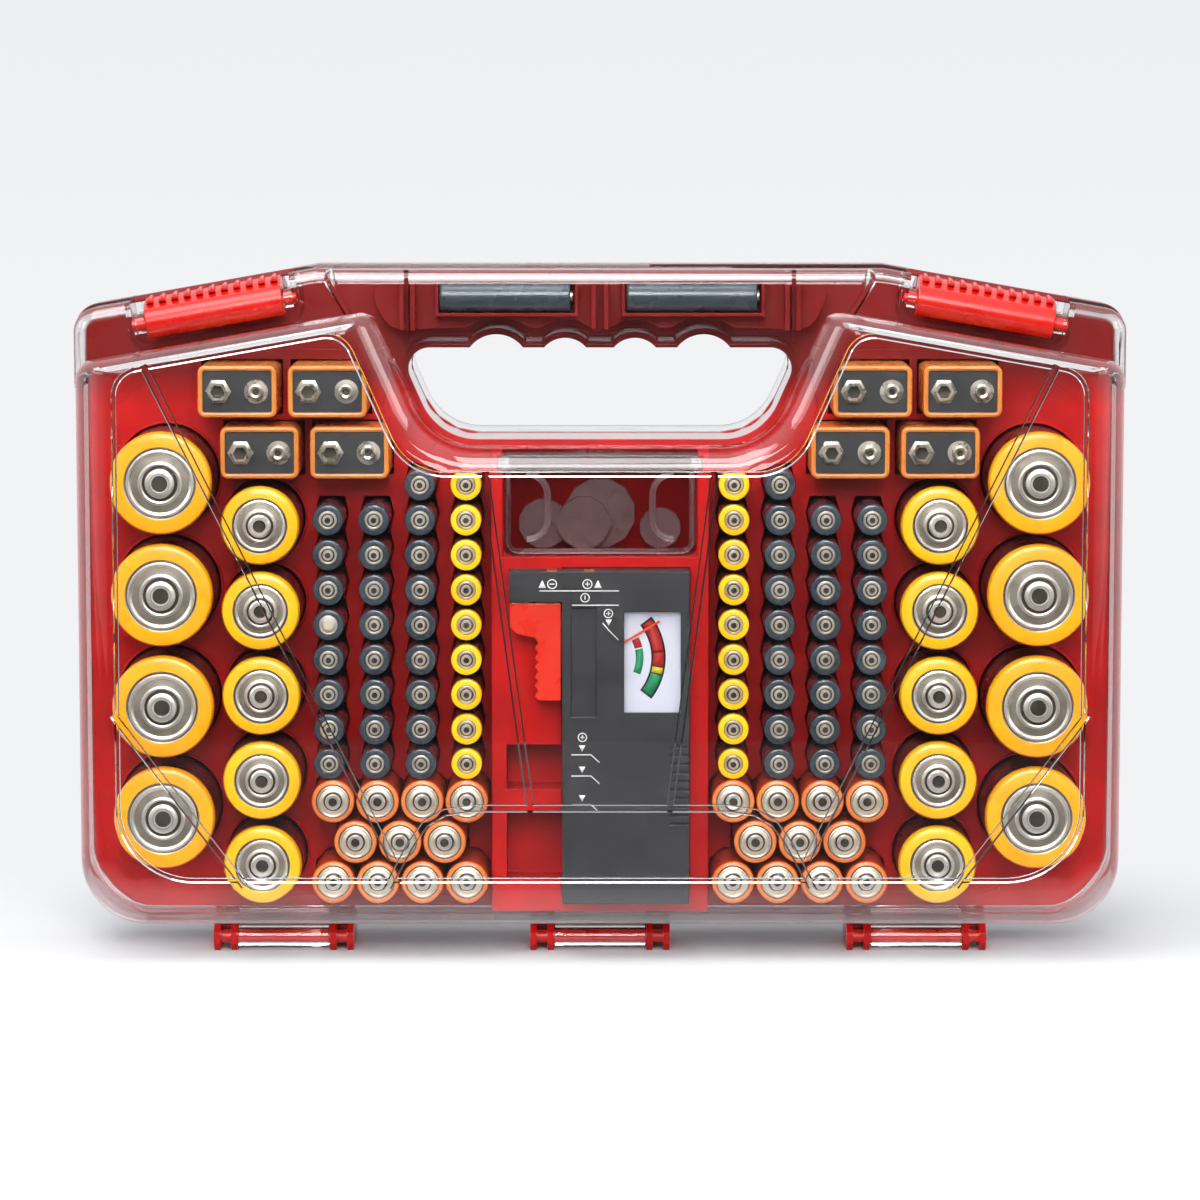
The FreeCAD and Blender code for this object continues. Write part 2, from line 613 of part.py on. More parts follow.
def aa_cluster(side):
    """Block with one merged pocket for the staggered cells."""
    spots = aa_spots(side)
    floor = AA_SEAT + s.cell_seat_gap
    sides = s.small_sides
    reach = (s.aa_radius + s.pocket_gap / 2) / math.cos(math.pi / sides)
    pocket = prism([spots[0], spots[3], spots[10], spots[7]], None, HOLE_START, floor)
    pocket = pocket.fuse([rod(reach, x, z, HOLE_START, floor, sides) for x, z in spots])
    edge = reach + s.cup_wall
    cut = edge / 2
    x0, z0 = abs(spots[0][0]) - edge, spots[0][1] - edge
    x1, z1 = abs(spots[10][0]) + edge, spots[10][1] + edge
    hull = [(x0 + cut, z0), (x1 - cut, z0), (x1, z0 + cut), (x1, z1 - cut),
            (x1 - cut, z1), (x0 + cut, z1), (x0, z1 - cut), (x0, z0 + cut)]
    hull = [(side * x, z) for x, z in hull]
    back = prism(hull, None, CUP_START, floor + s.floor)
    return back, [pocket.removeSplitter()]


def nine_volt_boxes(side):
    """Box pockets for the square cells of one side."""
    floor = NINE_SEAT + s.cell_seat_gap
    boxes, pockets = [], []
    for x, z in on_side(NINE_SPOTS, side):
        half, high = s.nine_long / 2 + s.pocket_gap, s.nine_short / 2 + s.pocket_gap
        pockets.append(block(x - half, x + half, HOLE_START, floor, z - high, z + high))
        half, high = half + s.cup_wall, high + s.cup_wall
        boxes.append(block(x - half, x + half, CUP_START, floor + s.floor,
                           z - high, z + high))
    return boxes[0].fuse(boxes[1:]), pockets


def grip_outline(extra):
    """Outline of the raised block inside the handle."""
    points = [(-s.grip_foot_half, s.grip_bottom), (s.grip_foot_half, s.grip_bottom),
              (s.grip_top_half, s.grip_top), (-s.grip_top_half, s.grip_top)]
    return inset(points, [extra] * len(points))


def handle_grip():
    """Raised block with two cell frames, ribs and finger scallops."""
    radii = [s.small_radius * 2] * 4
    face = -s.grip_front
    base = prism(grip_outline(0), radii, face, -s.plate_front)
    clear = s.rim_width + s.wall + s.seam
    added = []
    for side in SIDES.values():
        half = s.aaa_length / 2 + s.pocket_gap
        high = s.aaa_radius + s.pocket_gap / 2
        x, z, wall = side * s.handle_cell_place, s.handle_cell_height, s.frame_wall
        frame = block(x - half - wall, x + half + wall, face - s.frame_proud, face,
                      z - high - wall, z + high + wall)
        added.append(frame.cut(block(x - half, x + half, face - s.frame_proud - s.overrun, face,
                                     z - high, z + high)))
        strip = s.divider_width / 2 + s.grip_strip_gap
        for middle in (s.grip_rib_inset, s.divider_place - strip, s.divider_place + strip):
            x = side * middle
            added.append(block(x - s.grip_rib_width / 2, x + s.grip_rib_width / 2,
                               face - s.grip_rib_proud, face, s.grip_bottom, s.grip_top))
    hollow = prism(grip_outline(s.wall), radii, face + s.wall, s.overrun)
    clearing = grown_opening(clear, -s.handle_depth, 0)
    solid = base.fuse(added).cut(clearing)
    skin = grown_opening(clear + s.wall, face + s.wall, s.overrun)
    hollow = hollow.cut(skin)
    return solid.cut(hollow), hollow


def centre_bay():
    """Raised block in the middle: coin box above, tester bay and finger wells below."""
    face = -s.bay_front
    base = block(-s.bay_half, s.bay_half, face, CUP_START, s.bay_foot, s.coin_head)
    out = face - s.overrun
    gap = s.tester_gap
    half = s.bay_half - s.coin_wall
    cuts = [block(s.tester_column - gap, s.tester_right + gap, out,
                  -s.tester_back_depth + gap, s.tester_foot - gap, s.tester_head + gap),
            block(-half, half, out, face + s.coin_lid_thickness + gap * 2,
                  s.coin_foot + s.coin_lip, s.coin_head - s.coin_lip),
            block(-half + s.coin_lip, half - s.coin_lip, out, -s.coin_floor,
                  s.coin_foot + s.coin_lip * 2, s.coin_head - s.coin_lip * 2)]
    for low, high in ((s.well_low_foot, s.well_low_head), (s.well_high_foot, s.well_high_head)):
        cuts.append(block(s.well_left, s.tester_column, out, -s.well_floor, low, high))
    hinge = coin_axis()
    reach = half + s.coin_pin_length + gap
    cuts.append(pin(bore_radius(s.coin_pin_radius), hinge[0], hinge[1], -reach, reach))
    back = -s.tester_back_depth + gap + s.wall
    wall = s.wall
    cuts.append(block(-s.bay_half + wall, s.tester_column - gap - wall, face + wall, back,
                      s.well_high_head + wall, s.tester_bar_foot))
    cuts.append(block(-s.bay_half + wall, s.bay_half - wall, -s.well_floor + wall, s.overrun,
                      s.bay_foot + wall, s.coin_foot - wall))
    cuts.append(block(-s.bay_half + wall, s.bay_half - wall, -s.coin_floor + wall, s.overrun,
                      s.coin_foot, s.coin_head - wall))
    return base.cut(cuts)


def coin_axis():
    """(y, z) of the coin lid's hinge line."""
    return (-s.bay_front + s.coin_lid_thickness / 2,
            s.coin_head - s.coin_lip - s.tester_gap * 2 - s.coin_pin_drop)


def lug_reach():
    """Corner radius that puts a faceted lug's flats at the lug radius."""
    return s.lug_radius / math.cos(math.pi / s.small_sides)


def hinge_lugs():
    """Lug plates with the front and back cores that the lids clip on."""
    solids = []
    for place in HINGE_PLACES:
        for offset in (-s.outer_lug_place, -s.inner_lug_place,
                       s.inner_lug_place, s.outer_lug_place):
            left = place + offset - s.lug_width / 2
            right = left + s.lug_width
            for way in (FRONT, BACK):
                solids.append(pin(lug_reach(), way * s.hinge_offset, s.lug_radius, left, right))
            solids.append(block(left, right, -s.hinge_offset, s.hinge_offset,
                                0, s.lug_radius * 2))
            solids.append(block(left, right, -s.lug_neck_half, s.lug_neck_half,
                                s.lug_radius, s.rim_bottom + s.rim_width / 2))
        for way in (FRONT, BACK):
            solids.append(pin(s.core_radius, way * s.hinge_offset, s.lug_radius,
                              place - s.outer_lug_place, place + s.outer_lug_place))
    return solids


def latch_notch(near, far):
    """Stretch of the rim that is lowered under a thumb plate."""
    half = s.recess_length / 2 + s.wall / 2
    low = s.hook_under - s.seam
    high = s.latch_drop + s.edge_round
    return prism([(-half, low), (half, low), (half, high), (-half, high)], None, near, far)


def latch_keeper(side):
    """Lowered stretch of the rim that a front and a back latch hook over."""
    half = s.recess_length / 2 + s.wall + s.seam * 2
    low = s.latch_drop - s.recess_depth - s.wall - s.seam
    keeper = block(-half, half, -s.rim_half_depth, s.rim_half_depth,
                   low, s.hook_under - s.seam)
    return to_shoulder(keeper, side)


def pocket_fields(side):
    """Outlines of the two plates in which one side's pockets are cut."""
    edge = s.pocket_gap + s.cup_wall + s.wall
    outer = D_COLUMN + s.d_radius + edge
    d_head = s.d_first + s.d_pitch * (s.d_rows - 1) + s.d_radius + edge
    nine_head = s.nine_upper + s.nine_short / 2 + edge
    nine_reach = s.nine_long / 2 + edge
    lower = [(s.bay_half, s.bay_foot), (C_COLUMN + s.c_radius + edge, s.bay_foot),
             (outer, s.d_first - s.d_radius), (outer, s.coin_head), (s.bay_half, s.coin_head)]
    upper = [(C_COLUMN - s.nine_lower_shift - nine_reach, s.coin_head), (outer, s.coin_head),
             (outer, d_head),
             (C_COLUMN - s.nine_upper_shift + s.nine_pitch + nine_reach, nine_head),
             (C_COLUMN - s.nine_upper_shift - nine_reach, nine_head)]
    return [[(side * x, z) for x, z in points] for points in (lower, upper)]


def tray_frame():
    """The rim, the plate inside it, the collar of the hand opening and the hinge lugs."""
    far = s.rim_half_depth
    count = len(CASE_OUTLINE)
    outer = prism(CASE_OUTLINE, CASE_RADII, -far, far)
    band = [max(radius - s.rim_width, s.small_radius / 2) for radius in CASE_RADII]
    inner = prism(inset(CASE_OUTLINE, [s.rim_width] * count), band, -far, far)
    land = s.wall + s.seam * 2
    plate_radii = [max(radius - land, s.small_radius / 2) for radius in CASE_RADII]
    plate = prism(inset(CASE_OUTLINE, [land] * count), plate_radii,
                  -s.plate_front, CUP_START)
    ring = outer.cut(inner)
    for side in SIDES.values():
        ring = ring.cut(to_shoulder(latch_notch(-s.overrun, s.overrun), side))
        plate = plate.cut(to_shoulder(recess_form(s.wall + s.seam, -s.overrun, 0), side))
    collar = grown_opening(s.rim_width, -far, far)
    plate = plate.cut(grown_opening(land, -s.overrun, s.overrun))
    body = plate.fuse([ring, collar]).cut(grown_opening(0, -s.overrun, s.overrun))
    return body.fuse(hinge_lugs())


def cell_holders(side):
    """One side's pocket plates, and the cups and boxes behind them."""
    groups = [round_cups(on_side(D_SPOTS, side), s.d_radius, D_SEAT, s.round_sides),
              round_cups(on_side(C_SPOTS, side), s.c_radius, C_SEAT, s.round_sides),
              nine_volt_boxes(side), small_cell_field(side), aa_cluster(side)]
    taken, pockets = [], []
    for solid, holes in groups:
        taken.append(solid.cut(taken) if taken else solid)
        pockets += holes
    plates = [prism(points, None, -s.plate_front, CUP_START) for points in pocket_fields(side)]
    return [plate.cut(pockets) for plate in plates], [solid.cut(pockets) for solid in taken]


def make_tray():
    """The red moulding as touching sub-parts, so that each keeps a close collision shape."""
    keepers = [latch_keeper(side) for side in SIDES.values()]
    plates, cups, windows = [], [], []
    for side in SIDES.values():
        flat, deep = cell_holders(side)
        plates += flat
        cups += deep
        windows += [prism(points, None, -s.plate_front, CUP_START)
                    for points in pocket_fields(side)]
    windows.append(block(-s.bay_half, s.bay_half, -s.plate_front, CUP_START,
                         s.bay_foot, s.coin_head))
    grip, grip_hollow = handle_grip()
    frame = tray_frame().cut(keepers + windows + [grip_hollow])
    feature("tray", frame.removeSplitter())
    feature("latch_keepers", Part.makeCompound(keepers))
    feature("cell_plates", Part.makeCompound(plates))
    feature("cell_cups", Part.makeCompound([one.removeSplitter() for one in cups]))
    feature("centre_bay", centre_bay().removeSplitter())
    feature("handle_grip", grip.removeSplitter())


# Sub-parts of the document

NODES = []


def node(obj, name):
    """Register a document object as a sub-part, placed so that y = 0 halves the case's depth."""
    obj.Label = name
    obj.setExpression("Placement.Base.y", "(sizes.front_depth - sizes.back_depth) / 2")
    NODES.append(obj)
    return obj


def feature(name, shape):
    """Sub-part whose form is worked out from the sheet by the functions above."""
    obj = doc.addObject("Part::Feature", name)
    obj.Shape = shape
    obj.Placement = shape.Placement
    return node(obj, name)


def bind(obj, **texts):
    """Tie properties to the sheet; a double underscore stands for a dot."""
    for name, text in texts.items():
        obj.setExpression(name.replace("__", "."), text)
    return obj


def upright_cell(name, facets, radius, length, nub_radius):
    """Model cell standing on z = 0 with its positive nub on top."""
    can = doc.addObject("Part::Prism", name + "_can")
    can.Polygon = int(facets)
    nub = doc.addObject("Part::Prism", name + "_nub")
    nub.Polygon = int(facets // 2)
    bind(can, Circumradius="sizes." + radius, Height="sizes.%s - sizes.nub_height" % length)
    bind(nub, Circumradius="sizes." + nub_radius, Height="sizes.nub_height",
         Placement__Base__z="sizes.%s - sizes.nub_height" % length)
    cell = doc.addObject("Part::MultiFuse", name)
    cell.Shapes = [can, nub]
    return cell


def forward_group(name, model, spots, tail):
    """Copies of a model cell, lying along Y with the nub forward, at (x, z) places."""
    doc.recompute()
    copies = []
    for x, z in spots:
        copy = model.Shape.copy()
        copy.rotate(Vector(0, 0, 0), ACROSS, 90)
        copy.translate(Vector(x, tail, z))
        copies.append(copy)
    return feature(name, Part.makeCompound(copies))


def sideways_group(name, model, places):
    """Copies of a model cell lying along X, each with its middle at a place."""
    doc.recompute()
    copies = []
    for place in places:
        copy = model.Shape.copy()
        middle = copy.BoundBox.Center
        copy.translate(-middle)
        copy.rotate(Vector(0, 0, 0), Vector(0, 1, 0), 90)
        copy.translate(place)
        copies.append(copy)
    return feature(name, Part.makeCompound(copies))


def body_named(name):
    """Empty PartDesign body that becomes a sub-part."""
    return node(doc.addObject("PartDesign::Body", name), name)


def sketch(body, name, offset, corners, role="XZ_Plane"):
    """Closed outline in a plane of the body, each corner tied to the sheet."""
    plane = [item for item in body.Origin.OriginFeatures if item.Role == role][0]
    made = body.newObject("Sketcher::SketchObject", name)
    made.AttachmentSupport = (plane, [""])
    made.MapMode = "FlatFace"
    made.setExpression("AttachmentOffset.Base.z", offset)
    count = len(corners)
    angles = [2 * math.pi * (place - 3 / 2) / count for place in range(count)]
    starts = [Vector(math.cos(angle), math.sin(angle), 0) for angle in angles]
    for place in range(count):
        made.addGeometry(Part.LineSegment(starts[place], starts[(place + 1) % count]))
    for place in range(count):
        following = (place + 1) % count
        made.addConstraint(Sketcher.Constraint("Coincident", place, 2, following, 1))
    for place in range(count):
        for kind, value, text in (("DistanceX", starts[place].x, corners[place][0]),
                                  ("DistanceY", starts[place].y, corners[place][1])):
            limit = Sketcher.Constraint(kind, -1, 1, place, 1, value)
            index = made.addConstraint(limit)
            made.setExpression("Constraints[%d]" % index, text)
    return made


def rectangle(left, right, low, high):
    """Corners of a rectangle as expressions."""
    return [(left, low), (right, low), (right, high), (left, high)]


def grow(body, kind, name, profile, length, backwards=False):
    """Pad or pocket of a sketch, checked to change the body's volume the right way."""
    doc.recompute()
    before = body.Shape.Volume if body.Tip and not body.Shape.isNull() else 0
    made = body.newObject("PartDesign::" + kind, name)
    made.Profile = profile
    made.Reversed = backwards
    made.setExpression("Length", length)
    doc.recompute()
    change = body.Shape.Volume - before
    if (kind == "Pad") != (change > 0) or change == 0:
        raise RuntimeError("%s did not change %s" % (name, body.Label))
    return made


# Tester

PARTING = "(sizes.bay_front + sizes.slider_gap)"


def make_tester_body():
    """Front shell: bar across the head, column down the right, window and grooves."""
    body = body_named("tester_body")
    corner = [("sizes.tester_left", "sizes.tester_bar_foot"),
              ("sizes.tester_column", "sizes.tester_bar_foot"),
              ("sizes.tester_column", "sizes.tester_foot"),
              ("sizes.tester_right", "sizes.tester_foot"),
              ("sizes.tester_right", "sizes.tester_head"),
              ("sizes.tester_left", "sizes.tester_head")]
    shell = sketch(body, "tester_outline", PARTING, corner)
    grow(body, "Pad", "tester_shell", shell, "sizes.tester_front - " + PARTING)
    hollow = sketch(body, "tester_hollow_outline", PARTING, rectangle(
        "sizes.tester_column + sizes.tester_wall", "sizes.tester_right - sizes.tester_wall",
        "sizes.tester_foot + sizes.tester_wall", "sizes.tester_head - sizes.tester_wall"))
    grow(body, "Pocket", "tester_hollow", hollow,
         "sizes.tester_front - sizes.tester_wall - " + PARTING, True)
    window = sketch(body, "window_outline", "sizes.tester_front", rectangle(
        "sizes.window_left", "sizes.window_right", "sizes.window_foot", "sizes.window_head"))
    grow(body, "Pocket", "window_hole", window, "sizes.tester_wall")
    mark = sketch(body, "slot_mark_outline", "sizes.tester_front", rectangle(
        "sizes.slot_mark_left", "sizes.slot_mark_right",
        "sizes.slot_mark_foot", "sizes.slot_mark_head"))
    grow(body, "Pocket", "slot_mark", mark, "sizes.slot_mark_depth")
    slot = sketch(body, "slider_slot_outline",
                  "sizes.tongue_front - sizes.tongue_thickness - sizes.slot_gap", rectangle(
                      "sizes.tester_column - sizes.tester_wall",
                      "sizes.tester_column + sizes.tester_wall * 2",
                      "sizes.tester_foot + sizes.tester_wall * 2", "sizes.tester_bar_foot"))
    grow(body, "Pocket", "slider_slot", slot,
         "sizes.tongue_thickness + sizes.slot_gap * 2", True)
    groove = sketch(body, "grip_groove_outline", "sizes.tester_front", rectangle(
        "sizes.grip_groove_left", "sizes.tester_right + sizes.tester_wall",
        "sizes.grip_groove_foot", "sizes.grip_groove_foot + sizes.grip_groove_width"))
    first = grow(body, "Pocket", "grip_groove", groove, "sizes.grip_groove_depth")
    pattern = body.newObject("PartDesign::LinearPattern", "grip_grooves")
    pattern.Originals = [first]
    pattern.Direction = (groove, ["V_Axis"])
    pattern.Occurrences = int(s.grip_groove_count)
    pattern.setExpression("Length",
                          "sizes.grip_groove_pitch * (sizes.grip_groove_count - 1)")
    body.Tip = pattern
    return body


def make_tester_back():
    """Rear shell behind the column."""
    body = body_named("tester_back")
    profile = sketch(body, "tester_back_outline", "sizes.tester_back_depth", rectangle(
        "sizes.tester_column", "sizes.tester_right", "sizes.tester_foot", "sizes.tester_head"))
    grow(body, "Pad", "tester_back_shell", profile,
         PARTING + " - sizes.tester_back_depth")
    hollow = sketch(body, "tester_back_hollow_outline", PARTING, rectangle(
        "sizes.tester_column + sizes.tester_wall", "sizes.tester_right - sizes.tester_wall",
        "sizes.tester_foot + sizes.tester_wall", "sizes.tester_head - sizes.tester_wall"))
    grow(body, "Pocket", "tester_back_hollow", hollow,
         PARTING + " - sizes.tester_back_depth - sizes.tester_wall")
    return body


def make_tester_slider():
    """Sprung slider: block on top, toothed comb below, tongue in the column's slot."""
    body = body_named("tester_slider")
    right = "sizes.tester_column - sizes.slider_gap"
    pitch = "(sizes.slider_step - sizes.slider_foot) / sizes.slider_teeth"
    corners = [(right, "sizes.slider_foot"), (right, "sizes.slider_head"),
               ("sizes.tester_left + sizes.slider_gap", "sizes.slider_head"),
               ("sizes.tester_left + sizes.slider_gap",
                "sizes.slider_step + sizes.slider_tooth * 2"),
               ("sizes.tester_left + sizes.slider_gap + sizes.slider_tooth * 2",
                "sizes.slider_step"),
               ("sizes.slider_comb", "sizes.slider_step - sizes.slider_tooth")]
    for tooth in range(int(s.slider_teeth) - 1, 0, -1):
        top = "sizes.slider_foot + %s * %d" % (pitch, tooth)
        corners.append(("sizes.slider_comb + sizes.slider_tooth", top))
        corners.append(("sizes.slider_comb", top + " - %s / 2" % pitch))
    corners.append(("sizes.slider_comb + sizes.slider_tooth", "sizes.slider_foot"))
    corners.reverse()
    profile = sketch(body, "slider_outline", PARTING, corners)
    grow(body, "Pad", "slider_block", profile, "sizes.slider_thickness")
    tongue = sketch(body, "tongue_outline", "sizes.tongue_front - sizes.tongue_thickness",
                    rectangle(right + " - sizes.tongue_width", right + " + sizes.tongue_width",
                              "sizes.tongue_foot", "sizes.tongue_head"))
    grow(body, "Pad", "slider_tongue", tongue, "sizes.tongue_thickness")
    return body


def make_plate(name, offset, corners, thickness):
    """Flat plate padded forwards from a plane parallel to the case's face."""
    body = body_named(name)
    profile = sketch(body, name + "_outline", offset, corners)
    grow(body, "Pad", name + "_plate", profile, thickness)
    return body


NEEDLE_BACK = s.tester_front - s.tester_wall - s.needle_gap - s.needle_thickness
DIAL_FRONT = NEEDLE_BACK - s.needle_gap


def make_movement():
    """Meter movement with a bore for the needle's shaft."""
    y = -(DIAL_FRONT - s.dial_thickness)
    can = block(s.movement_left, s.movement_right, y, y + s.movement_depth,
                s.movement_foot, s.movement_head)
    bore = rod(bore_radius(s.needle_shaft), s.needle_pivot_across,
               s.needle_pivot_height, y - s.overrun, y + s.movement_depth / 2, s.small_sides)
    return feature("meter_movement", can.cut(bore))


def make_needle():
    """Balanced pointer on a hub and shaft."""
    near = -NEEDLE_BACK
    bar = block(-s.needle_tail, s.needle_length, near - s.needle_thickness, near,
                -s.needle_width / 2, s.needle_width / 2)
    back = -(DIAL_FRONT - s.dial_thickness) - s.cell_seat_gap
    hub = rod(s.needle_hub, 0, 0, near - s.needle_thickness, back, s.small_sides)
    shaft = rod(s.needle_shaft, 0, 0, back, back + s.movement_depth / 3, s.small_sides)
    shape = bar.fuse([hub, shaft])
    shape.rotate(Vector(0, 0, 0), Vector(0, 1, 0), -s.needle_rest_angle)
    shape.translate(Vector(s.needle_pivot_across, 0, s.needle_pivot_height))
    return feature("meter_needle", shape)


def make_tester_contacts():
    """Contact plates under the bar and on the tester's head."""
    thin = s.contact_thickness
    under = block(s.tester_left + s.tester_wall, s.tester_column - s.tester_wall,
                  -s.tester_front + s.tester_wall, -s.bay_front - s.tester_wall,
                  s.tester_bar_foot - thin, s.tester_bar_foot)
    plates = [under]
    for x in (s.tester_column - s.nine_post_radius, s.nine_post_pitch - s.tester_wall * 2
              + s.tester_column):
        plates.append(block(x - s.nine_post_radius / 2, x + s.nine_post_radius / 2,
                            -s.tester_front + s.tester_wall, -s.bay_front - s.tester_wall * 2,
                            s.tester_head, s.tester_head + s.tester_gap * 2 / 3))
    return feature("tester_contacts", Part.makeCompound(plates))


def make_coin_lid():
    """Clear lid of the coin box with two finger ridges and hinge pins."""
    half = s.bay_half - s.coin_wall - s.tester_gap
    foot = s.coin_foot + s.coin_lip + s.tester_gap
    head = s.coin_head - s.coin_lip - s.tester_gap * 2
    face = -s.bay_front
    plate = block(-half, half, face, face + s.coin_lid_thickness, foot, head)
    y, z = coin_axis()
    added = [pin(s.coin_pin_radius, y, z, -half - s.coin_pin_length, half + s.coin_pin_length)]
    middle = (foot + head) / 2
    for side in SIDES.values():
        rim = side * half
        inner = side * (half - s.coin_ridge_width)
        low, high = middle - s.coin_ridge_height / 2, middle + s.coin_ridge_height / 2
        ring = prism([(rim, low), (inner, low), (inner, high), (rim, high)], None,
                     face - s.coin_ridge_proud, face)
        width = s.coin_lip
        well = prism([(rim - side * width, low + width), (inner + side * width, low + width),
                      (inner + side * width, high - width), (rim - side * width, high - width)],
                     None, face - s.coin_ridge_proud - s.overrun, face)
        added.append(ring.cut(well))
    return feature("coin_lid", plate.fuse(added).removeSplitter())


# Each coin cell's share of the room across, its share of the model radius and its layer
COIN_SHARES = ((-0.85, 0.85, 0), (0, 1.2, 0), (0.85, 0.7, 0), (-0.25, 0.9, 1))


def make_coin_cells():
    """Flat cells lying against the floor of the coin box."""
    floor_y = -s.coin_floor - s.cell_seat_gap
    base = s.coin_foot + s.coin_lip * 2 + s.cell_seat_gap
    half = s.bay_half - s.coin_wall - s.coin_lip - s.cell_seat_gap
    cells = []
    for across_share, radius_share, layer in COIN_SHARES:
        radius = s.coin_cell_radius * radius_share
        y = floor_y - (s.coin_cell_thickness + s.cell_seat_gap) * layer
        cells.append(rod(radius, (half - radius) * across_share, base + radius,
                         y - s.coin_cell_thickness, y))
    return feature("coin_cells", Part.makeCompound(cells))


def make_cells():
    """All the cells, each kind in one group."""
    d_cell = upright_cell("d_model", s.round_sides, "d_radius", "d_length", "d_nub_radius")
    c_cell = upright_cell("c_model", s.round_sides, "c_radius", "c_length", "c_nub_radius")
    aaa_cell = upright_cell("aaa_model", s.tiny_sides, "aaa_radius", "aaa_length", "aaa_nub_radius")
    aa_cell = upright_cell("aa_model", s.small_sides, "aa_radius", "aa_length", "aa_nub_radius")
    forward_group("d_cells", d_cell, D_SPOTS, D_SEAT)
    forward_group("c_cells", c_cell, C_SPOTS, C_SEAT)
    forward_group("aaa_cells_yellow", aaa_cell, AAA_SPOTS[0], AAA_SEAT)
    grey = [spot for column in AAA_SPOTS[1:] for spot in column]
    forward_group("aaa_cells_grey", aaa_cell, grey, AAA_SEAT)
    forward_group("aa_cells", aa_cell, AA_SPOTS, AA_SEAT)
    grip_y = -(s.grip_front + s.cell_seat_gap + s.aaa_radius)
    sideways_group("handle_cells", aaa_cell,
                   [Vector(side * s.handle_cell_place, grip_y, s.handle_cell_height)
                    for side in SIDES.values()])
    places = []
    for side in SIDES.values():
        for count in range(int(s.aa_back_count)):
            places.append(Vector(side * AA_BACK_MIDDLE, AA_BACK_AXIS,
                                 AA_BACK_FIRST + AA_BACK_PITCH * count))
    sideways_group("back_aa_cells", aa_cell, places)


def make_nine_volts():
    """Square cells and, as a group of their own, the snap posts on them."""
    can = doc.addObject("Part::Box", "nine_volt_model")
    bind(can, Length="sizes.nine_long", Width="sizes.nine_short", Height="sizes.nine_height",
         Placement__Base__x="-sizes.nine_long / 2", Placement__Base__y="-sizes.nine_short / 2")
    socket = doc.addObject("Part::Prism", "nine_volt_socket")
    socket.Polygon = 6
    stud = doc.addObject("Part::Prism", "nine_volt_stud")
    stud.Polygon = 6
    for post, way in ((socket, "-"), (stud, "")):
        bind(post, Height="sizes.nine_post_height",
             Placement__Base__x=way + "sizes.nine_post_pitch / 2",
             Placement__Base__z="sizes.nine_height")
    bind(socket, Circumradius="sizes.nine_post_radius")
    bind(stud, Circumradius="sizes.nine_post_radius * 5 / 6")
    forward_group("nine_volt_cells", can, NINE_SPOTS, NINE_SEAT)
    posts = doc.addObject("Part::Compound", "nine_volt_posts_model")
    posts.Links = [socket, stud]
    forward_group("nine_volt_posts", posts, NINE_SPOTS, NINE_SEAT)


make_tray()
feature("front_lid", lid(s.front_depth, FRONT))
feature("back_lid", lid(s.back_depth, BACK))
for side_name, side_value in SIDES.items():
    feature("front_latch_" + side_name, latch(FRONT, side_value))
    feature("back_latch_" + side_name, latch(BACK, side_value))
make_cells()
make_nine_volts()
make_coin_lid()
make_coin_cells()
make_tester_body()
make_tester_back()
make_tester_slider()
make_plate("slider_contact", PARTING + " + sizes.slider_tooth",
           rectangle("sizes.tester_left + sizes.slider_gap * 2",
                     "sizes.tester_column - sizes.slider_gap * 2", "sizes.slider_head",
                     "sizes.slider_head + sizes.contact_thickness / 2"),
           "sizes.slider_thickness - sizes.slider_tooth * 2")
make_plate("meter_window", "sizes.tester_front + sizes.window_proud - sizes.window_thickness",
           rectangle("sizes.window_left + sizes.running_gap",
                     "sizes.window_right - sizes.running_gap",
                     "sizes.window_foot + sizes.running_gap",
                     "sizes.window_head - sizes.running_gap"), "sizes.window_thickness")
DIAL_OFFSET = ("sizes.tester_front - sizes.tester_wall - sizes.needle_gap * 2"
               " - sizes.needle_thickness - sizes.dial_thickness")
make_plate("meter_dial", DIAL_OFFSET,
           rectangle("sizes.window_left - sizes.tester_wall",
                     "sizes.tester_right - sizes.tester_wall - sizes.running_gap",
                     "sizes.window_foot - sizes.tester_wall",
                     "sizes.window_head + sizes.tester_wall"), "sizes.dial_thickness")
make_movement()
make_needle()
make_tester_contacts()
resistor_y = -(s.tester_back_depth + s.tester_wall + s.cell_seat_gap + s.resistor_radius)
feature("load_resistor", pin(s.resistor_radius, resistor_y,
                             s.tester_foot + s.resistor_length * 2,
                             s.window_left, s.window_left + s.resistor_length))

doc.recompute()
for obj in doc.Objects:
    if "Invalid" in obj.State or "Error" in obj.State:
        raise RuntimeError("%s failed: %s" % (obj.Label, obj.State))
for obj in NODES:
    if obj.Shape.isNull() or not obj.Shape.isValid():
        raise RuntimeError("%s has no valid shape" % obj.Label)

os.makedirs("parts", exist_ok=True)
for obj in NODES:
    obj.Shape.exportStep("parts/%s.step" % obj.Label)
    print("%-20s %2d solids  %9.1f mm3  %4d faces" % (
        obj.Label, len(obj.Shape.Solids), obj.Shape.Volume, len(obj.Shape.Faces)))
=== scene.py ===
"""Double-sided battery storage case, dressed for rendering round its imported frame.

Places are written in millimetres with the tray's middle plane at y = 0, X across the case,
Z up and the front towards -Y. moulding() turns them into metres in the frame.
"""
import math

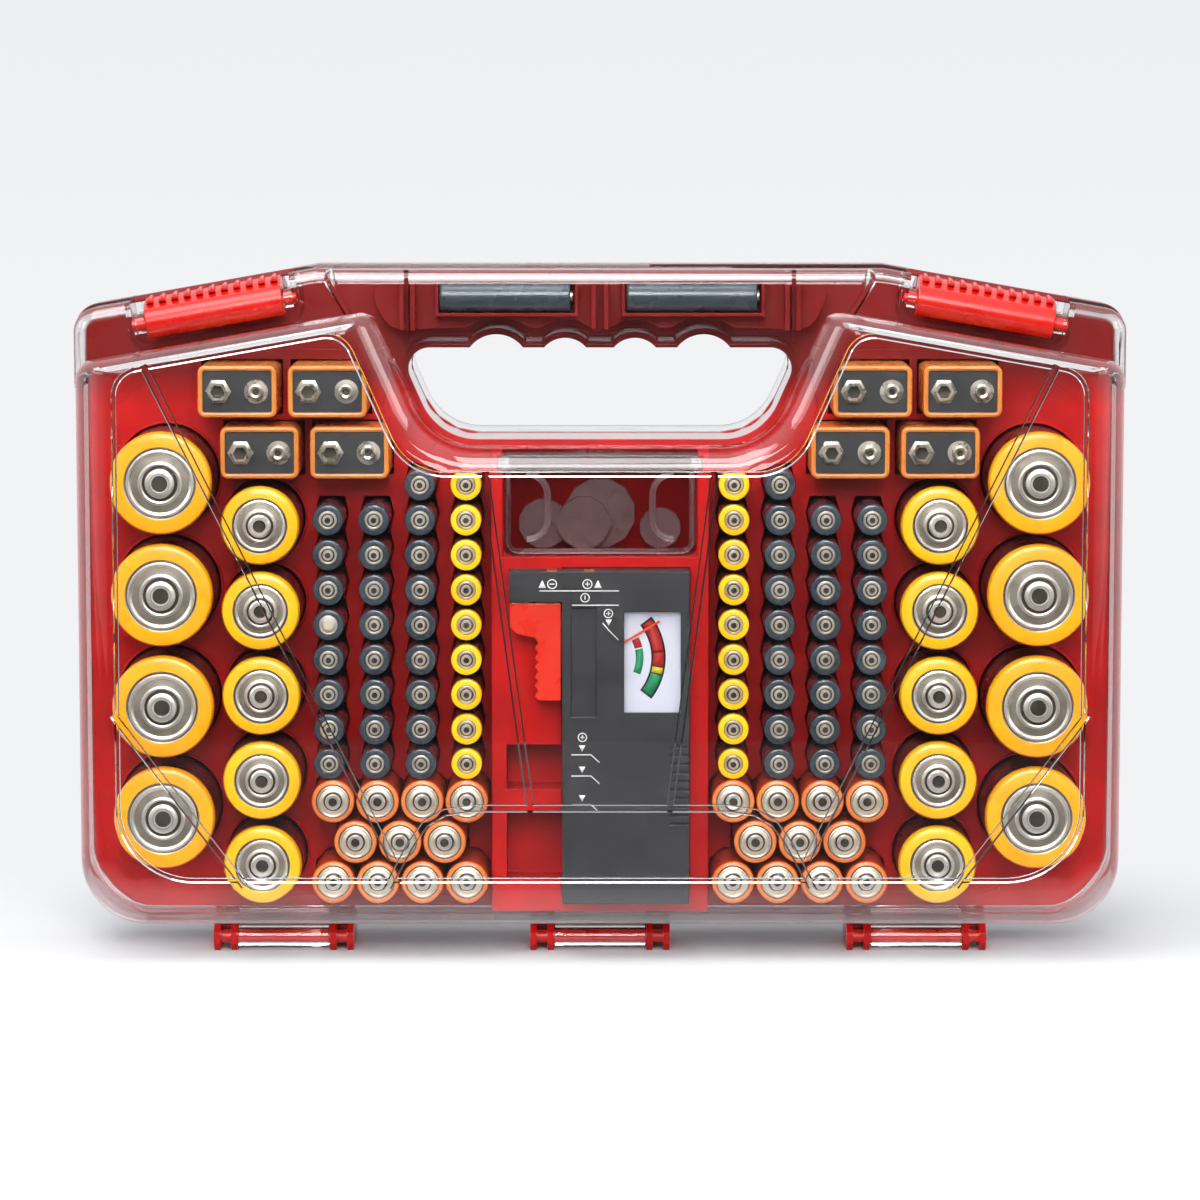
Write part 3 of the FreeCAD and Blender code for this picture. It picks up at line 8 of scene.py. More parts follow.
import bmesh
import bpy
import numpy as np
from bpy.props import FloatProperty, FloatVectorProperty, IntProperty, PointerProperty
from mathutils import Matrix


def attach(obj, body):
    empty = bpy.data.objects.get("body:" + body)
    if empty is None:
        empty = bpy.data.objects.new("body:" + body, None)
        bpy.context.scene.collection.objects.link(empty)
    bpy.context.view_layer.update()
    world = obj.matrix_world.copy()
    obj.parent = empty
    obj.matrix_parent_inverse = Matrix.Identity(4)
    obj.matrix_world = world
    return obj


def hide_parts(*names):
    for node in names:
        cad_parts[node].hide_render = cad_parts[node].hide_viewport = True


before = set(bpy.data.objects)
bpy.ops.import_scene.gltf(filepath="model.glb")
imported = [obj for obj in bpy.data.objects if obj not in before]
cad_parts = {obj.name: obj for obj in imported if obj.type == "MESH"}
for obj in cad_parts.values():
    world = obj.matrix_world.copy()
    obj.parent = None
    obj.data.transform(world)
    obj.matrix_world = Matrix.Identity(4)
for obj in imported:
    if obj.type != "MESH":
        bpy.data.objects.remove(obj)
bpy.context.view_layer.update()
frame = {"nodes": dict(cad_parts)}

bl_info = {
    "name": "Battery storage case",
    "version": (1, 0, 0),
    "blender": (4, 5, 0),
    "location": "View3D > Sidebar > Battery case",
    "description": "Builds the cells, clear lids, latches, tester and stage round the frame",
    "category": "Object",
}

MM = 0.001
TRAY_PLANE = 3.75
FRONT, BACK = -1, 1
LEFT, RIGHT = -1, 1
SIDES = (LEFT, RIGHT)
ARC_STEP = 6.0
SHARP, LID_SHARP = math.radians(32), math.radians(24)

# Case outline and hand opening
HALF_WIDTH = 177.3
RIM_BOTTOM = 9.8
SHOULDER_LOW = 219.4
HANDLE_TOP = 234.0
HANDLE_TOP_HALF = 95.0
FOOT_RADIUS = 25.0
SHOULDER_RADIUS = 9.0
SMALL_RADIUS = 3.0
OPENING_BOTTOM, OPENING_TOP = 176.7, 207.3
OPENING_FOOT_HALF, OPENING_TOP_HALF = 53.9, 67.5
OPENING_FOOT_RADIUS, OPENING_TOP_RADIUS = 20.0, 7.0
SCALLOPS = ((34.5, 11.1, 4.4), (11.6, 9.3, 3.2), (-11.6, 9.3, 3.2), (-34.5, 11.1, 4.4))
RIM_HALF_DEPTH, BEAD_ROOT = 2.2, 2.2
SEAM = 0.3
OVERRUN = 5.0
SLOPE = math.atan2(HANDLE_TOP - SHOULDER_LOW, HALF_WIDTH - HANDLE_TOP_HALF)

# Lids
SHELF_DEPTH, HANDLE_DEPTH = 22.0, 30.0
SHELF_INSET = 4.0
EDGE_DRAFT = 1.6
LIP_DEPTH, LIP_STEP = 3.2, 0.9
EDGE_STEPS = 7
RECESS_DEPTH, RECESS_LENGTH, RECESS_RADIUS = 16.0, 54.0, 4.0
DIVIDER_PLACE, DIVIDER_WIDTH = 64.5, 1.5
BOSS_RADIUS, BOSS_ROOT = 3.2, 1.0
RIDGE_ROOT, BEAD_INSET = 2.0, 1.6
GRIP_FRONT = 13.0

# Latches
LATCH_PLACE, LATCH_DROP, LATCH_LENGTH, LATCH_RADIUS = 129.3, 9.3, 46.6, 5.25
LATCH_AXIS_DEPTH, HOOK_GAP, HOOK_UNDER, LATCH_TOP = 14.0, 0.5, 3.2, 8.0
LATCH_REACH = LATCH_AXIS_DEPTH - HOOK_GAP
RIB_HALF, RIB_RISE, RIB_SINK = 1.25, 1.9, 1.0
LOBE_RADIUS, LOBE_SINK = 11.0, 10.0
PIN_RADIUS, PIN_HALF = 1.45, 28.0

# Hinges
HINGE_PLACES = (-108.0, 0.0, 108.0)
LUG_RADIUS, HINGE_OFFSET, CORE_RADIUS = 4.5, 9.0, 2.0
CLIP_HALF, CLIP_RADIUS, CLIP_GAP = 15.35, 4.3, 0.25
CLIP_START, CLIP_WRAP, CLIP_POINTS = 38, 284, 30
NECK_HALF, NECK_FOOT, NECK_HEAD = 2.2, 3.2, 2.0
LUG_PLACES, LUG_WIDTH, CORE_COVER = (-22.7, -16.9, 16.9, 22.7), 2.2, 0.12

# Cells
PLATE_FRONT = 3.0
NINE_CAP, NINE_TAIL, NINE_HALF = -27.0, 19.4, (13.25, 8.75)
# Radius, length, disc and nub radii, height proud of the plate, start of the side's painted
# shade back from the cap, segments
D_SIZE = (17.1, 61.5, 12.1, 4.9, 33.0, 6.0, 72)
C_SIZE = (13.1, 50.0, 9.3, 3.8, 30.0, 5.5, 60)
AAA_SIZE = (5.2, 44.5, 3.2, 1.8, 27.5, 4.5, 32)
REVERSED_SIZE = (5.2, 44.5, 3.4, 1.8, 27.5, 4.5, 32)
AA_SIZE = (7.2, 50.5, 5.7, 2.6, 29.0, 2.4, 44)
GRIP_SIZE = (5.2, 44.5, 3.2, 1.8, 0, 4.5, 48)
BACK_SIZE = (7.2, 50.5, 5.7, 2.6, 0, 9.0, 44)


def on_both_sides(columns):
    """(x, z) places of columns of cells, mirrored left and right."""
    return [(side * x, z) for side in SIDES for x, heights in columns for z in heights]


def rows(first, pitch, count):
    return [first + pitch * place for place in range(count)]


D_SPOTS = on_both_sides([(146.5, rows(49.5, 37.6, 4))])
C_SPOTS = on_both_sides([(113.6, rows(33.0, 28.7, 5))])
YELLOW_SPOTS = on_both_sides([(44.8, rows(67.15, 11.77, 9))])
GREY_SPOTS = on_both_sides([(60.2, rows(67.15, 11.77, 9)), (75.6, rows(67.15, 11.77, 8)),
                            (91.0, rows(67.15, 11.77, 8))])
REVERSED_SPOT = (-91.0, 67.15 + 11.77 * 4)
AA_SPOTS = on_both_sides([(44.8 + 15.0 * (place + shift), [27.0 + 13.8 * row])
                          for row, (shift, count) in enumerate(((0, 4), (0.5, 3), (0, 4)))
                          for place in range(count)])
NINE_SPOTS = on_both_sides([(91.0, [192.4]), (121.1, [192.4]), (83.7, [171.9]), (113.8, [171.9])])
GRIP_CELL = (31.2, -18.5, 223.8)   # middle of the right-hand cell in the grip
BACK_CELLS = (67.9, 23.3, rows(74.0, 14.9, 6))


# Shapes as arrays: a shape is (points, [(corner numbers, finish number), ...])

def unit(vector):
    return vector / np.linalg.norm(vector)


def arc(centre, radius, start, end, step=ARC_STEP):
    """Points at one distance from a centre, from the start angle to the end angle in degrees."""
    count = max(2, round(abs(end - start) / step))
    angle = np.radians(np.linspace(start, end, count + 1))
    return np.asarray(centre) + radius * np.stack([np.cos(angle), np.sin(angle)], 1)


def rounded(points, radii, step=ARC_STEP):
    """Closed outline whose corners are arcs that touch both of their edges."""
    points = np.asarray(points, float)
    arcs = []
    for place, radius in enumerate(radii):
        here = points[place]
        back = unit(points[place - 1] - here)
        ahead = unit(points[(place + 1) % len(points)] - here)
        half = math.acos(float(np.clip(back @ ahead, -1, 1))) / 2
        centre = here + unit(back + ahead) * radius / math.sin(half)
        first = here + back * radius / math.tan(half) - centre
        turn = math.pi - 2 * half
        if back[0] * ahead[1] - back[1] * ahead[0] > 0:
            turn = -turn
        count = max(2, round(math.degrees(abs(turn)) / step))
        angle = np.linspace(0, turn, count + 1)
        cos, sin = np.cos(angle), np.sin(angle)
        arcs.append(centre + np.stack([first[0] * cos - first[1] * sin,
                                       first[0] * sin + first[1] * cos], 1))
    return np.concatenate(arcs)


def inset(points, amounts):
    """Closed outline with every edge moved inwards by its amount and met with the next."""
    points = np.asarray(points, float)
    ahead = np.roll(points, -1, 0) - points
    inward = np.stack([-ahead[:, 1], ahead[:, 0]], 1)
    inward /= np.linalg.norm(ahead, axis=1, keepdims=True)
    start = points + inward * np.broadcast_to(amounts, len(points))[:, None]
    before, along = np.roll(start, 1, 0), np.roll(ahead, 1, 0)
    gap = start - before
    share = (gap[:, 0] * ahead[:, 1] - gap[:, 1] * ahead[:, 0])
    share /= along[:, 0] * ahead[:, 1] - along[:, 1] * ahead[:, 0]
    return before + along * share[:, None]


def strips(levels, count, around=True):
    """Quads between neighbouring rows of a grid of points, closed round each row or open."""
    column = np.arange(count if around else count - 1)
    row = np.arange(levels - 1)[:, None] * count
    a = row + column
    b = row + (column + 1) % count
    return np.stack([a, b, b + count, a + count], -1).reshape(-1, 4)


def ringed(rings, finishes=0):
    """Closed skin through rings of points, one finish for each band, and flat ends."""
    levels, count = rings.shape[:2]
    bands = np.broadcast_to(finishes, levels - 1)
    quads = strips(levels, count).reshape(levels - 1, count, 4)
    faces = [(quads[place], int(bands[place])) for place in range(levels - 1)]
    faces.append((np.arange(count)[None, ::-1], int(bands[0])))
    faces.append((np.arange(count)[None] + (levels - 1) * count, int(bands[-1])))
    return rings.reshape(-1, 3), faces


def looped(rings):
    """Skin of a closed tube: rings of points carried round until the last meets the first."""
    levels, count = rings.shape[:2]
    return rings.reshape(-1, 3), [(strips(levels + 1, count) % (levels * count), 0)]


def joined(shapes):
    """One shape from several, their faces renumbered to match the points put in a row."""
    points, faces, start = [], [], 0
    for shape_points, shape_faces in shapes:
        points.append(shape_points)
        faces += [(corners + start, finish) for corners, finish in shape_faces]
        start += len(shape_points)
    return np.concatenate(points), faces


def repeated(shape, places):
    """The same shape at every place: its points plus each place in turn."""
    points, faces = shape
    shift = (np.arange(len(places)) * len(points))[:, None, None]
    every = (points[None] + np.asarray(places, float)[:, None]).reshape(-1, 3)
    return every, [((corners[None] + shift).reshape(-1, corners.shape[1]), finish)
                   for corners, finish in faces]


def in_plane(outline, y):
    """Outline of (x, z) points stood up at the depth y."""
    outline = np.asarray(outline, float)
    return np.stack([outline[:, 0], np.full(len(outline), y), outline[:, 1]], 1)


def prism(outline, near, far, finish=0):
    """Outline carried straight from the depth near to the depth far."""
    low, high = max(near, far), min(near, far)
    return ringed(np.stack([in_plane(outline, low), in_plane(outline, high)]), finish)


def rectangle(x0, x1, z0, z1):
    return [(x0, z0), (x1, z0), (x1, z1), (x0, z1)]


def stepped(corners, radius, least, levels):
    """Rings of a rounded rectangle that draws in by an amount at each (amount, depth)."""
    return np.stack([in_plane(rounded(inset(corners, amount),
                                      [max(radius - amount, least)] * 4, 15), y)
                     for amount, y in levels])


def plate(corners, radius, back, face, edge):
    """Rounded rectangle from the depth back to face, its front edge rounded by edge.

    Round that edge the outline draws in as 1 - cos while its depth goes as sin.
    """
    levels = [(0, back)] + [(edge * (1 - math.cos(turn)), face + edge * (1 - math.sin(turn)))
                            for turn in np.linspace(0, math.pi / 2, 4)]
    return ringed(stepped(corners, radius, 0.05, levels))


def block(x0, x1, y0, y1, z0, z1):
    return prism(rectangle(x0, x1, z0, z1), y0, y1)


def spun(profile, segments):
    """Rings of a (radius, y) profile carried round a full turn about the Y axis."""
    profile = np.asarray(profile, float)
    angle = 2 * math.pi * np.arange(segments) / segments
    return np.stack([profile[:, :1] * np.cos(angle),
                     np.broadcast_to(profile[:, 1:], (len(profile), segments)),
                     profile[:, :1] * np.sin(angle)], -1)


def turned(profile, segments, finishes=0):
    """Solid of a profile spun about the Y axis."""
    return ringed(spun(profile, segments), finishes)


def along_x(section, stations):
    """Section of (y, z) points carried straight along X through the stations."""
    return ringed(np.stack([np.column_stack([np.full(len(section), x), section])
                            for x in stations]))


def rod_across(radius, y, z, x0, x1, segments=24, edge=0.0):
    """Round bar along X with its ends drawn in by edge."""
    stations = [(x0, radius - edge), (x0 + edge, radius), (x1 - edge, radius), (x1, radius - edge)]
    if not edge:
        stations = stations[::3]
    angle = 2 * math.pi * np.arange(segments) / segments
    rings = [np.stack([np.full(segments, x), y + size * np.cos(angle),
                       z + size * np.sin(angle)], 1) for x, size in stations]
    return ringed(np.stack(rings))


def swept(profile, path, closed=False):
    """Profile of (side, height) carried along an (x, z) path; height stands towards -Y.

    At each path point the profile lies square to the line that halves its two directions.
    """
    path = np.asarray(path, float)
    before = np.roll(path, 1, 0)
    after = np.roll(path, -1, 0)
    if not closed:
        before[0], after[-1] = path[0], path[-1]
    ahead = after - before
    ahead /= np.linalg.norm(ahead, axis=1, keepdims=True)
    side = np.stack([ahead[:, 1], -ahead[:, 0]], 1)
    profile = np.asarray(profile, float)
    flat = path[:, None] + side[:, None] * profile[None, :, :1]
    rings = np.stack([flat[..., 0], np.broadcast_to(-profile[:, 1], flat.shape[:2]),
                      flat[..., 1]], -1)
    return looped(rings) if closed else ringed(rings)


def placed(shape, shift):
    return shape[0] + np.asarray(shift, float), shape[1]


def flipped(shape, side):
    """The shape on its own side of x = 0; moulding() turns its faces the right way again."""
    return shape[0] * (1 if side == LEFT else -1, 1, 1), shape[1]


def to_shoulder(shape, side):
    """Shape carried from a latch's own frame, x up the slope, on to a shoulder."""
    cos, sin = math.cos(SLOPE), math.sin(SLOPE)
    x, y, z = shape[0].T
    rise = (HALF_WIDTH - LATCH_PLACE) * math.tan(SLOPE)
    height = SHOULDER_LOW + rise - LATCH_DROP / cos
    points = np.stack([x * cos - z * sin - LATCH_PLACE, y, x * sin + z * cos + height], 1)
    return flipped((points, shape[1]), side)


# Meshes and pieces

def moulding(name, shape, finishes=(), smooth=True):
    """Mesh object of a shape, in metres in the frame, its faces turned outwards."""
    points, faces = shape
    mesh = bpy.data.meshes.new(name)
    mesh.vertices.add(len(points))
    mesh.vertices.foreach_set("co", ((points + (0, TRAY_PLANE, 0)) * MM).ravel())
    mesh.loops.add(sum(corners.size for corners, _ in faces))
    mesh.loops.foreach_set("vertex_index",
                           np.concatenate([corners.ravel() for corners, _ in faces]))
    sizes = np.concatenate([np.full(len(corners), corners.shape[1]) for corners, _ in faces])
    mesh.polygons.add(len(sizes))
    mesh.polygons.foreach_set("loop_start", np.concatenate([[0], np.cumsum(sizes)[:-1]]))
    mesh.polygons.foreach_set("material_index", np.concatenate(
        [np.full(len(corners), finish) for corners, finish in faces]))
    mesh.update(calc_edges=True)
    mesh.validate()
    turn_outward(mesh)
    return dressed(name, mesh, finishes, SHARP, smooth)


def turn_outward(mesh):
    """Faces of every closed skin made to look away from its inside."""
    work = bmesh.new()
    work.from_mesh(mesh)
    bmesh.ops.recalc_face_normals(work, faces=work.faces)
    work.to_mesh(mesh)
    work.free()


def dressed(name, mesh, finishes, sharp, smooth=True):
    """Object of a mesh, smooth but for its sharp edges, with its finishes in order."""
    for finish in finishes:
        mesh.materials.append(finish)
    piece = bpy.data.objects.new(name, mesh)
    bpy.context.collection.objects.link(piece)
    if smooth:
        mesh.shade_smooth()
        mesh.set_sharp_from_angle(angle=sharp)
        flats = piece.modifiers.new("flat_faces_stay_flat", "WEIGHTED_NORMAL")
        flats.keep_sharp = True
    return piece


def carved(name, base, tools):
    """Mesh of a base shape with each tool joined to it, cut from it or kept common with it."""
    body = base if isinstance(base, bpy.types.Object) else moulding(name, base, smooth=False)
    for operation, tool in tools:
        if not isinstance(tool, bpy.types.Object):
            tool = moulding("tool", tool, smooth=False)
        modifier = body.modifiers.new("carve", "BOOLEAN")
        modifier.operation = operation
        modifier.solver = "MANIFOLD"
        modifier.object = tool
        graph = bpy.context.evaluated_depsgraph_get()
        mesh = bpy.data.meshes.new_from_object(body.evaluated_get(graph))
        body.modifiers.clear()
        if not mesh.polygons:
            raise RuntimeError("%s was lost by a %s" % (name, operation))
        body.data = mesh
        bpy.data.objects.remove(tool)
    return body


def finished(body, name, finishes, sharp=SHARP):
    """The carved object's mesh as a finished piece."""
    mesh = body.data
    bpy.data.objects.remove(body)
    mesh.materials.clear()
    mesh.polygons.foreach_set("material_index", np.zeros(len(mesh.polygons), int))
    return dressed(name, mesh, finishes, sharp)


def fit(piece, body, slot, *nodes):
    """The piece rides on its body and stands for CAD nodes, which are hidden. The slot is not
    used.
    """
    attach(piece, body)
    if nodes:
        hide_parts(*nodes)
    return piece


# Finishes

PAINTED_SHADE_LOW, PAINTED_SHADE_HIGH = 186.0, 198.0   # heights between which the painted shade at the top takes over


def linear(text):
    """Linear colour of an sRGB hex value."""
    channels = [int(text[place:place + 2], 16) / 255 for place in (0, 2, 4)]
    return tuple(c / 12.92 if c <= 0.04045 else ((c + 0.055) / 1.055) ** 2.4
                 for c in channels) + (1.0,)


def add(tree, kind, inputs=None, **settings):
    """Adds one node with its settings, its input values and the sockets that feed it."""
    node = tree.nodes.new("ShaderNode" + kind)
    for name, value in settings.items():
        setattr(node, name, value)
    for name, value in (inputs or {}).items():
        if isinstance(value, bpy.types.NodeSocket):
            tree.links.new(value, node.inputs[name])
        else:
            node.inputs[name].default_value = value
    return node


def new_finish(name):
    made = bpy.data.materials.new(name)
    made.use_nodes = True
    made.node_tree.nodes.clear()
    return made, made.node_tree


def show(tree, shader):
    """The shader as the material's surface."""
    add(tree, "OutputMaterial", {"Surface": shader})


def mottled(tree, coordinates, period, shade, deeper):
    """Colour that drifts between two shades over a period in millimetres."""
    noise = add(tree, "TexNoise", {"Vector": coordinates, "Scale": 1 / (period * MM),
                                   "Detail": 3.0, "Roughness": 0.55})
    share = add(tree, "MapRange", {"Value": noise.outputs["Fac"], "From Min": 0.32,
                                   "From Max": 0.68})
    return add(tree, "Mix", {"Factor": share.outputs["Result"], "A": linear(shade),
                             "B": linear(deeper)}, data_type="RGBA").outputs["Result"]


def drifting(tree, coordinates, period, low, high):
    """Number that drifts between low and high over a period in millimetres."""
    noise = add(tree, "TexNoise", {"Vector": coordinates, "Scale": 1 / (period * MM),
                                   "Detail": 2.0})
    return add(tree, "MapRange", {"Value": noise.outputs["Fac"], "From Min": 0.3,
                                  "From Max": 0.7, "To Min": low,
                                  "To Max": high}).outputs["Result"]


def moulded(name, shade, deeper, roughness=0.35, grain=0.8, relief=0.02, edge=0.0, sheen=0.0,
            shine=0.5, painted_top_shade=None):
    """Injection-moulded plastic: fine spark-eroded grain, gloss that drifts, soft edges.

    Painted shade: a deeper colour takes over towards the case's top, above the lid's step
    line, where the shelf and the handle lie in shade.
    """
    made, tree = new_finish(name)
    place = add(tree, "TexCoord").outputs["Object"]
    colour = mottled(tree, place, 22.0, shade, deeper)
    # Painted shade: the colour deepens towards the top of the case
    if painted_top_shade:
        height = add(tree, "SeparateXYZ", {0: place}).outputs["Z"]
        share = add(tree, "MapRange", {"Value": height, "From Min": PAINTED_SHADE_LOW * MM,
                                       "From Max": PAINTED_SHADE_HIGH * MM})
        colour = add(tree, "Mix", {"Factor": share.outputs["Result"], "A": colour,
                                   "B": linear(painted_top_shade)}, data_type="RGBA").outputs["Result"]
    gloss = drifting(tree, place, 9.0, roughness - 0.06, roughness + 0.08)
    texture = add(tree, "TexNoise", {"Vector": place, "Scale": 1 / (grain * MM), "Detail": 2.0})
    bump = {"Height": texture.outputs["Fac"], "Strength": 0.35, "Distance": relief * MM}
    if edge:
        bump["Normal"] = add(tree, "Bevel", {"Radius": edge * MM}, samples=4).outputs[0]
    relieved = add(tree, "Bump", bump)
    shader = add(tree, "BsdfPrincipled", {
        "Base Color": colour, "Roughness": gloss, "IOR": 1.53, "Normal": relieved.outputs[0],
        "Specular IOR Level": shine,
        "Coat Weight": sheen, "Coat Roughness": 0.12})
    show(tree, shader.outputs[0])
    return made


def clear_plastic(name, tint, roughness, waves=14.0, depth=0.03):
    """Clear moulded styrene: glass-like with a slow moulding ripple, and it lets lamps in."""
    made, tree = new_finish(name)
    place = add(tree, "TexCoord").outputs["Object"]
    ripple = add(tree, "TexNoise", {"Vector": place, "Scale": 1 / (waves * MM), "Detail": 1.0})
    bump = add(tree, "Bump", {"Height": ripple.outputs["Fac"], "Strength": 0.4,
                              "Distance": depth * MM})
    gloss = drifting(tree, place, 30.0, roughness * 0.5, roughness * 1.5)
    shell = add(tree, "BsdfPrincipled", {
        "Base Color": linear(tint), "Roughness": gloss, "IOR": 1.57,
        "Transmission Weight": 1.0, "Normal": bump.outputs[0]})
    through = add(tree, "BsdfTransparent", {"Color": linear("F4F5F6")})
    path = add(tree, "LightPath")
    surface = add(tree, "MixShader", {0: path.outputs["Is Shadow Ray"], 1: shell.outputs[0],
                                      2: through.outputs[0]})
    show(tree, surface.outputs[0])
    return made


def pressed_steel(name, shade, deeper, roughness=0.28, turns=0.35):
    """Nickel-plated steel cap: turned rings about each cell's axis, read from its own UV map."""
    made, tree = new_finish(name)
    local = add(tree, "UVMap", uv_map="from_axis").outputs["UV"]
    reach = add(tree, "VectorMath", {0: local}, operation="LENGTH").outputs["Value"]
    ridge = add(tree, "TexNoise", {"W": reach, "Scale": 1 / turns, "Detail": 2.0},
                noise_dimensions="1D")
    bump = add(tree, "Bump", {"Height": ridge.outputs["Fac"], "Strength": 0.5,
                              "Distance": 0.05 * MM})
    place = add(tree, "TexCoord").outputs["Object"]
    colour = mottled(tree, place, 6.0, shade, deeper)
    tone = add(tree, "MapRange", {"Value": ridge.outputs["Fac"], "From Min": 0.3,
                                  "From Max": 0.7, "To Min": roughness - 0.08,
                                  "To Max": roughness + 0.1})
    shader = add(tree, "BsdfPrincipled", {
        "Base Color": colour, "Metallic": 1.0, "Roughness": tone.outputs["Result"],
        "Normal": bump.outputs[0]})
    show(tree, shader.outputs[0])
    return made


def plain_steel(name, shade, deeper, roughness=0.3, period=5.0):
    """Plated or rolled metal with faint handling marks."""
    made, tree = new_finish(name)
    place = add(tree, "TexCoord").outputs["Object"]
    gloss = drifting(tree, place, 3.0, roughness - 0.08, roughness + 0.12)
    marks = add(tree, "TexNoise", {"Vector": place, "Scale": 1 / (0.5 * MM), "Detail": 3.0})
    bump = add(tree, "Bump", {"Height": marks.outputs["Fac"], "Strength": 0.2,
                              "Distance": 0.02 * MM})
    shader = add(tree, "BsdfPrincipled", {
        "Base Color": mottled(tree, place, period, shade, deeper), "Metallic": 1.0,
        "Roughness": gloss, "Normal": bump.outputs[0]})
    show(tree, shader.outputs[0])
    return made


FINISHES = {}


def make_finishes():
    """Every finish of the case, by name."""
    FINISHES.update({
        # Polypropylene from a sparked tool: a satin red body, with painted shade, a deeper red
        # behind the lid's shelf and handle
        "tray": moulded("moulded_red_polypropylene", "C60D0B", "AC0A09", 0.34, 0.9, 0.03, 0.5,
                        shine=0.22, painted_top_shade="780E0B"),
        # Latches from a polished tool: the brightest, glossiest red
        "latch": moulded("polished_red_latch", "D8190A", "C61409", 0.28, 1.4, 0.02, 0.0, 0.2),
        # Crystal polystyrene of the lids: nearly invisible but for its bright, bent edges
        "clear": clear_plastic("clear_polystyrene", "FFFFFF", 0.008),
        # Smoky clear coin lid: dims the coins behind it
        "coin_clear": clear_plastic("clear_coin_lid", "A89094", 0.012, 8.0),
        # Satin ridges of the coin lid: pale bands to push with a finger
        "coin_ridge": clear_plastic("satin_coin_lid_ridge", "F2DEDE", 0.3, 4.0, 0.1),
        # Flat clear pane: a thin gleam over the dial
        "window": clear_plastic("clear_meter_window", "FFFFFF", 0.02, 20.0, 0.01),
        # Printed shrink sleeves, glossy with slight pulls: the warm rings round the caps
        "d_label": moulded("amber_shrink_sleeve", "FFAE0C", "F79C02", 0.3, 2.5, 0.05, 0, 0.4),
        "c_label": moulded("golden_shrink_sleeve", "FFBE0A", "F5AE02", 0.3, 2.5, 0.05, 0, 0.4),
        "yellow": moulded("yellow_shrink_sleeve", "FFCC0A", "F2B604", 0.3, 1.5, 0.04, 0, 0.4),
        "copper": moulded("copper_shrink_sleeve", "E8803A", "D2682A", 0.32, 1.5, 0.04, 0, 0.4),
        # Slate sleeves: cool dark rows against the red
        "grey": moulded("slate_shrink_sleeve", "3A434B", "2E363D", 0.28, 1.5, 0.04, 0, 0.5),
        # Sides of the sleeves, painted shade: russet on copper sleeves, darkened and reddened as
        # the tray's reflection, near black on the rest, so that the gaps between cells read deep
        "copper_side_painted_shade": moulded("russet_sleeve_side", "C8431C", "A83212", 0.32, 2.0, 0.05, 0, 0.3),
        "sleeve_side_painted_shade": moulded("black_sleeve_side", "2A1A14", "1C1210", 0.3, 2.0, 0.05, 0, 0.4),
        # Nine-volt end: matt charcoal card in a copper foil rim that catches the light
        "nine_face": moulded("charcoal_nine_volt_face", "2C2B2B", "232223", 0.6, 0.5, 0.06),
        "nine_rim": moulded("copper_nine_volt_rim", "E08A3C", "C9742B", 0.26, 2.0, 0.04, 0, 0.4),
        # Nickel caps turned in rings: broad soft sheen, dull on large cells, pale on small ones
        "cap": pressed_steel("nickel_cap_turned", "A8A094", "8E867A", 0.42),
        "small_cap": pressed_steel("nickel_cap_pale", "F2E6CE", "E2D4BA", 0.4, 0.9),
        # Raised beads and nubs: painted highlight, bright rings where the light catches them
        "bright": pressed_steel("nickel_cap_bright", "F4EFE6", "E4DDD2", 0.34, 0.6),
        # Grooves and dimples: painted shade, dark rings between the highlighted ones
        "groove_painted_shade": pressed_steel("recessed_contact", "5A524A", "48423C", 0.45, 0.5),
        # Tinned snap posts, bright outside; painted shade in the socket and the stud's dimple
        "snap": plain_steel("tinned_snap_post", "D8D0C2", "BDB5A6", 0.3),
        "socket_painted_shade": plain_steel("dull_socket_inside", "5E574D", "4A443C", 0.5),
        # Brushed steel coins: quiet pale discs
        "coin": plain_steel("steel_coin_cell", "C9BDB4", "B9ADA5", 0.5, 16.0),
        # Brass strips: a warm glint in the tester
        "contact": plain_steel("brass_contact", "C9AE72", "B09458", 0.3),
        # Tester shells in charcoal ABS: a dark, finely grained slab
        "charcoal": moulded("charcoal_abs_shell", "2B2A2C", "242325", 0.45, 0.6, 0.04, 0.6),
        # Slider: an orange-red, brighter than the tray behind it
        "slider": moulded("red_slider_abs", "DA2A14", "CC2210", 0.3, 1.2, 0.03, 0.4),
        # Inks of the tester's symbols and the dial's bands, flat and matt
        "ink_white": moulded("white_print", "EDEDEA", "E2E2DE", 0.5, 0.5, 0.01),
        "ink_black": moulded("black_print", "1E1D20", "161517", 0.5, 0.5, 0.01),
        "ink_red": moulded("red_print", "C42A22", "B5231C", 0.5, 0.5, 0.01),
        "ink_green": moulded("green_print", "1D9C62", "178A55", 0.5, 0.5, 0.01),
        "ink_yellow": moulded("yellow_print", "E6D02A", "DBC422", 0.5, 0.5, 0.01),
        # Dial card: the one pale, cool area
        "card": moulded("dial_card", "E4E2EE", "DBDAE8", 0.6, 0.7, 0.02),
        # Movement, needle and resistor: dark, vivid and tan parts of the meter
        "movement": moulded("black_movement", "26262A", "1E1E22", 0.5, 0.9, 0.03),
        "needle": moulded("orange_needle", "F0531A", "E54A14", 0.4, 1.0, 0.01),
        "resistor": moulded("tan_resistor", "C8A878", "B79664", 0.5, 0.8, 0.02),
    })


# Cells

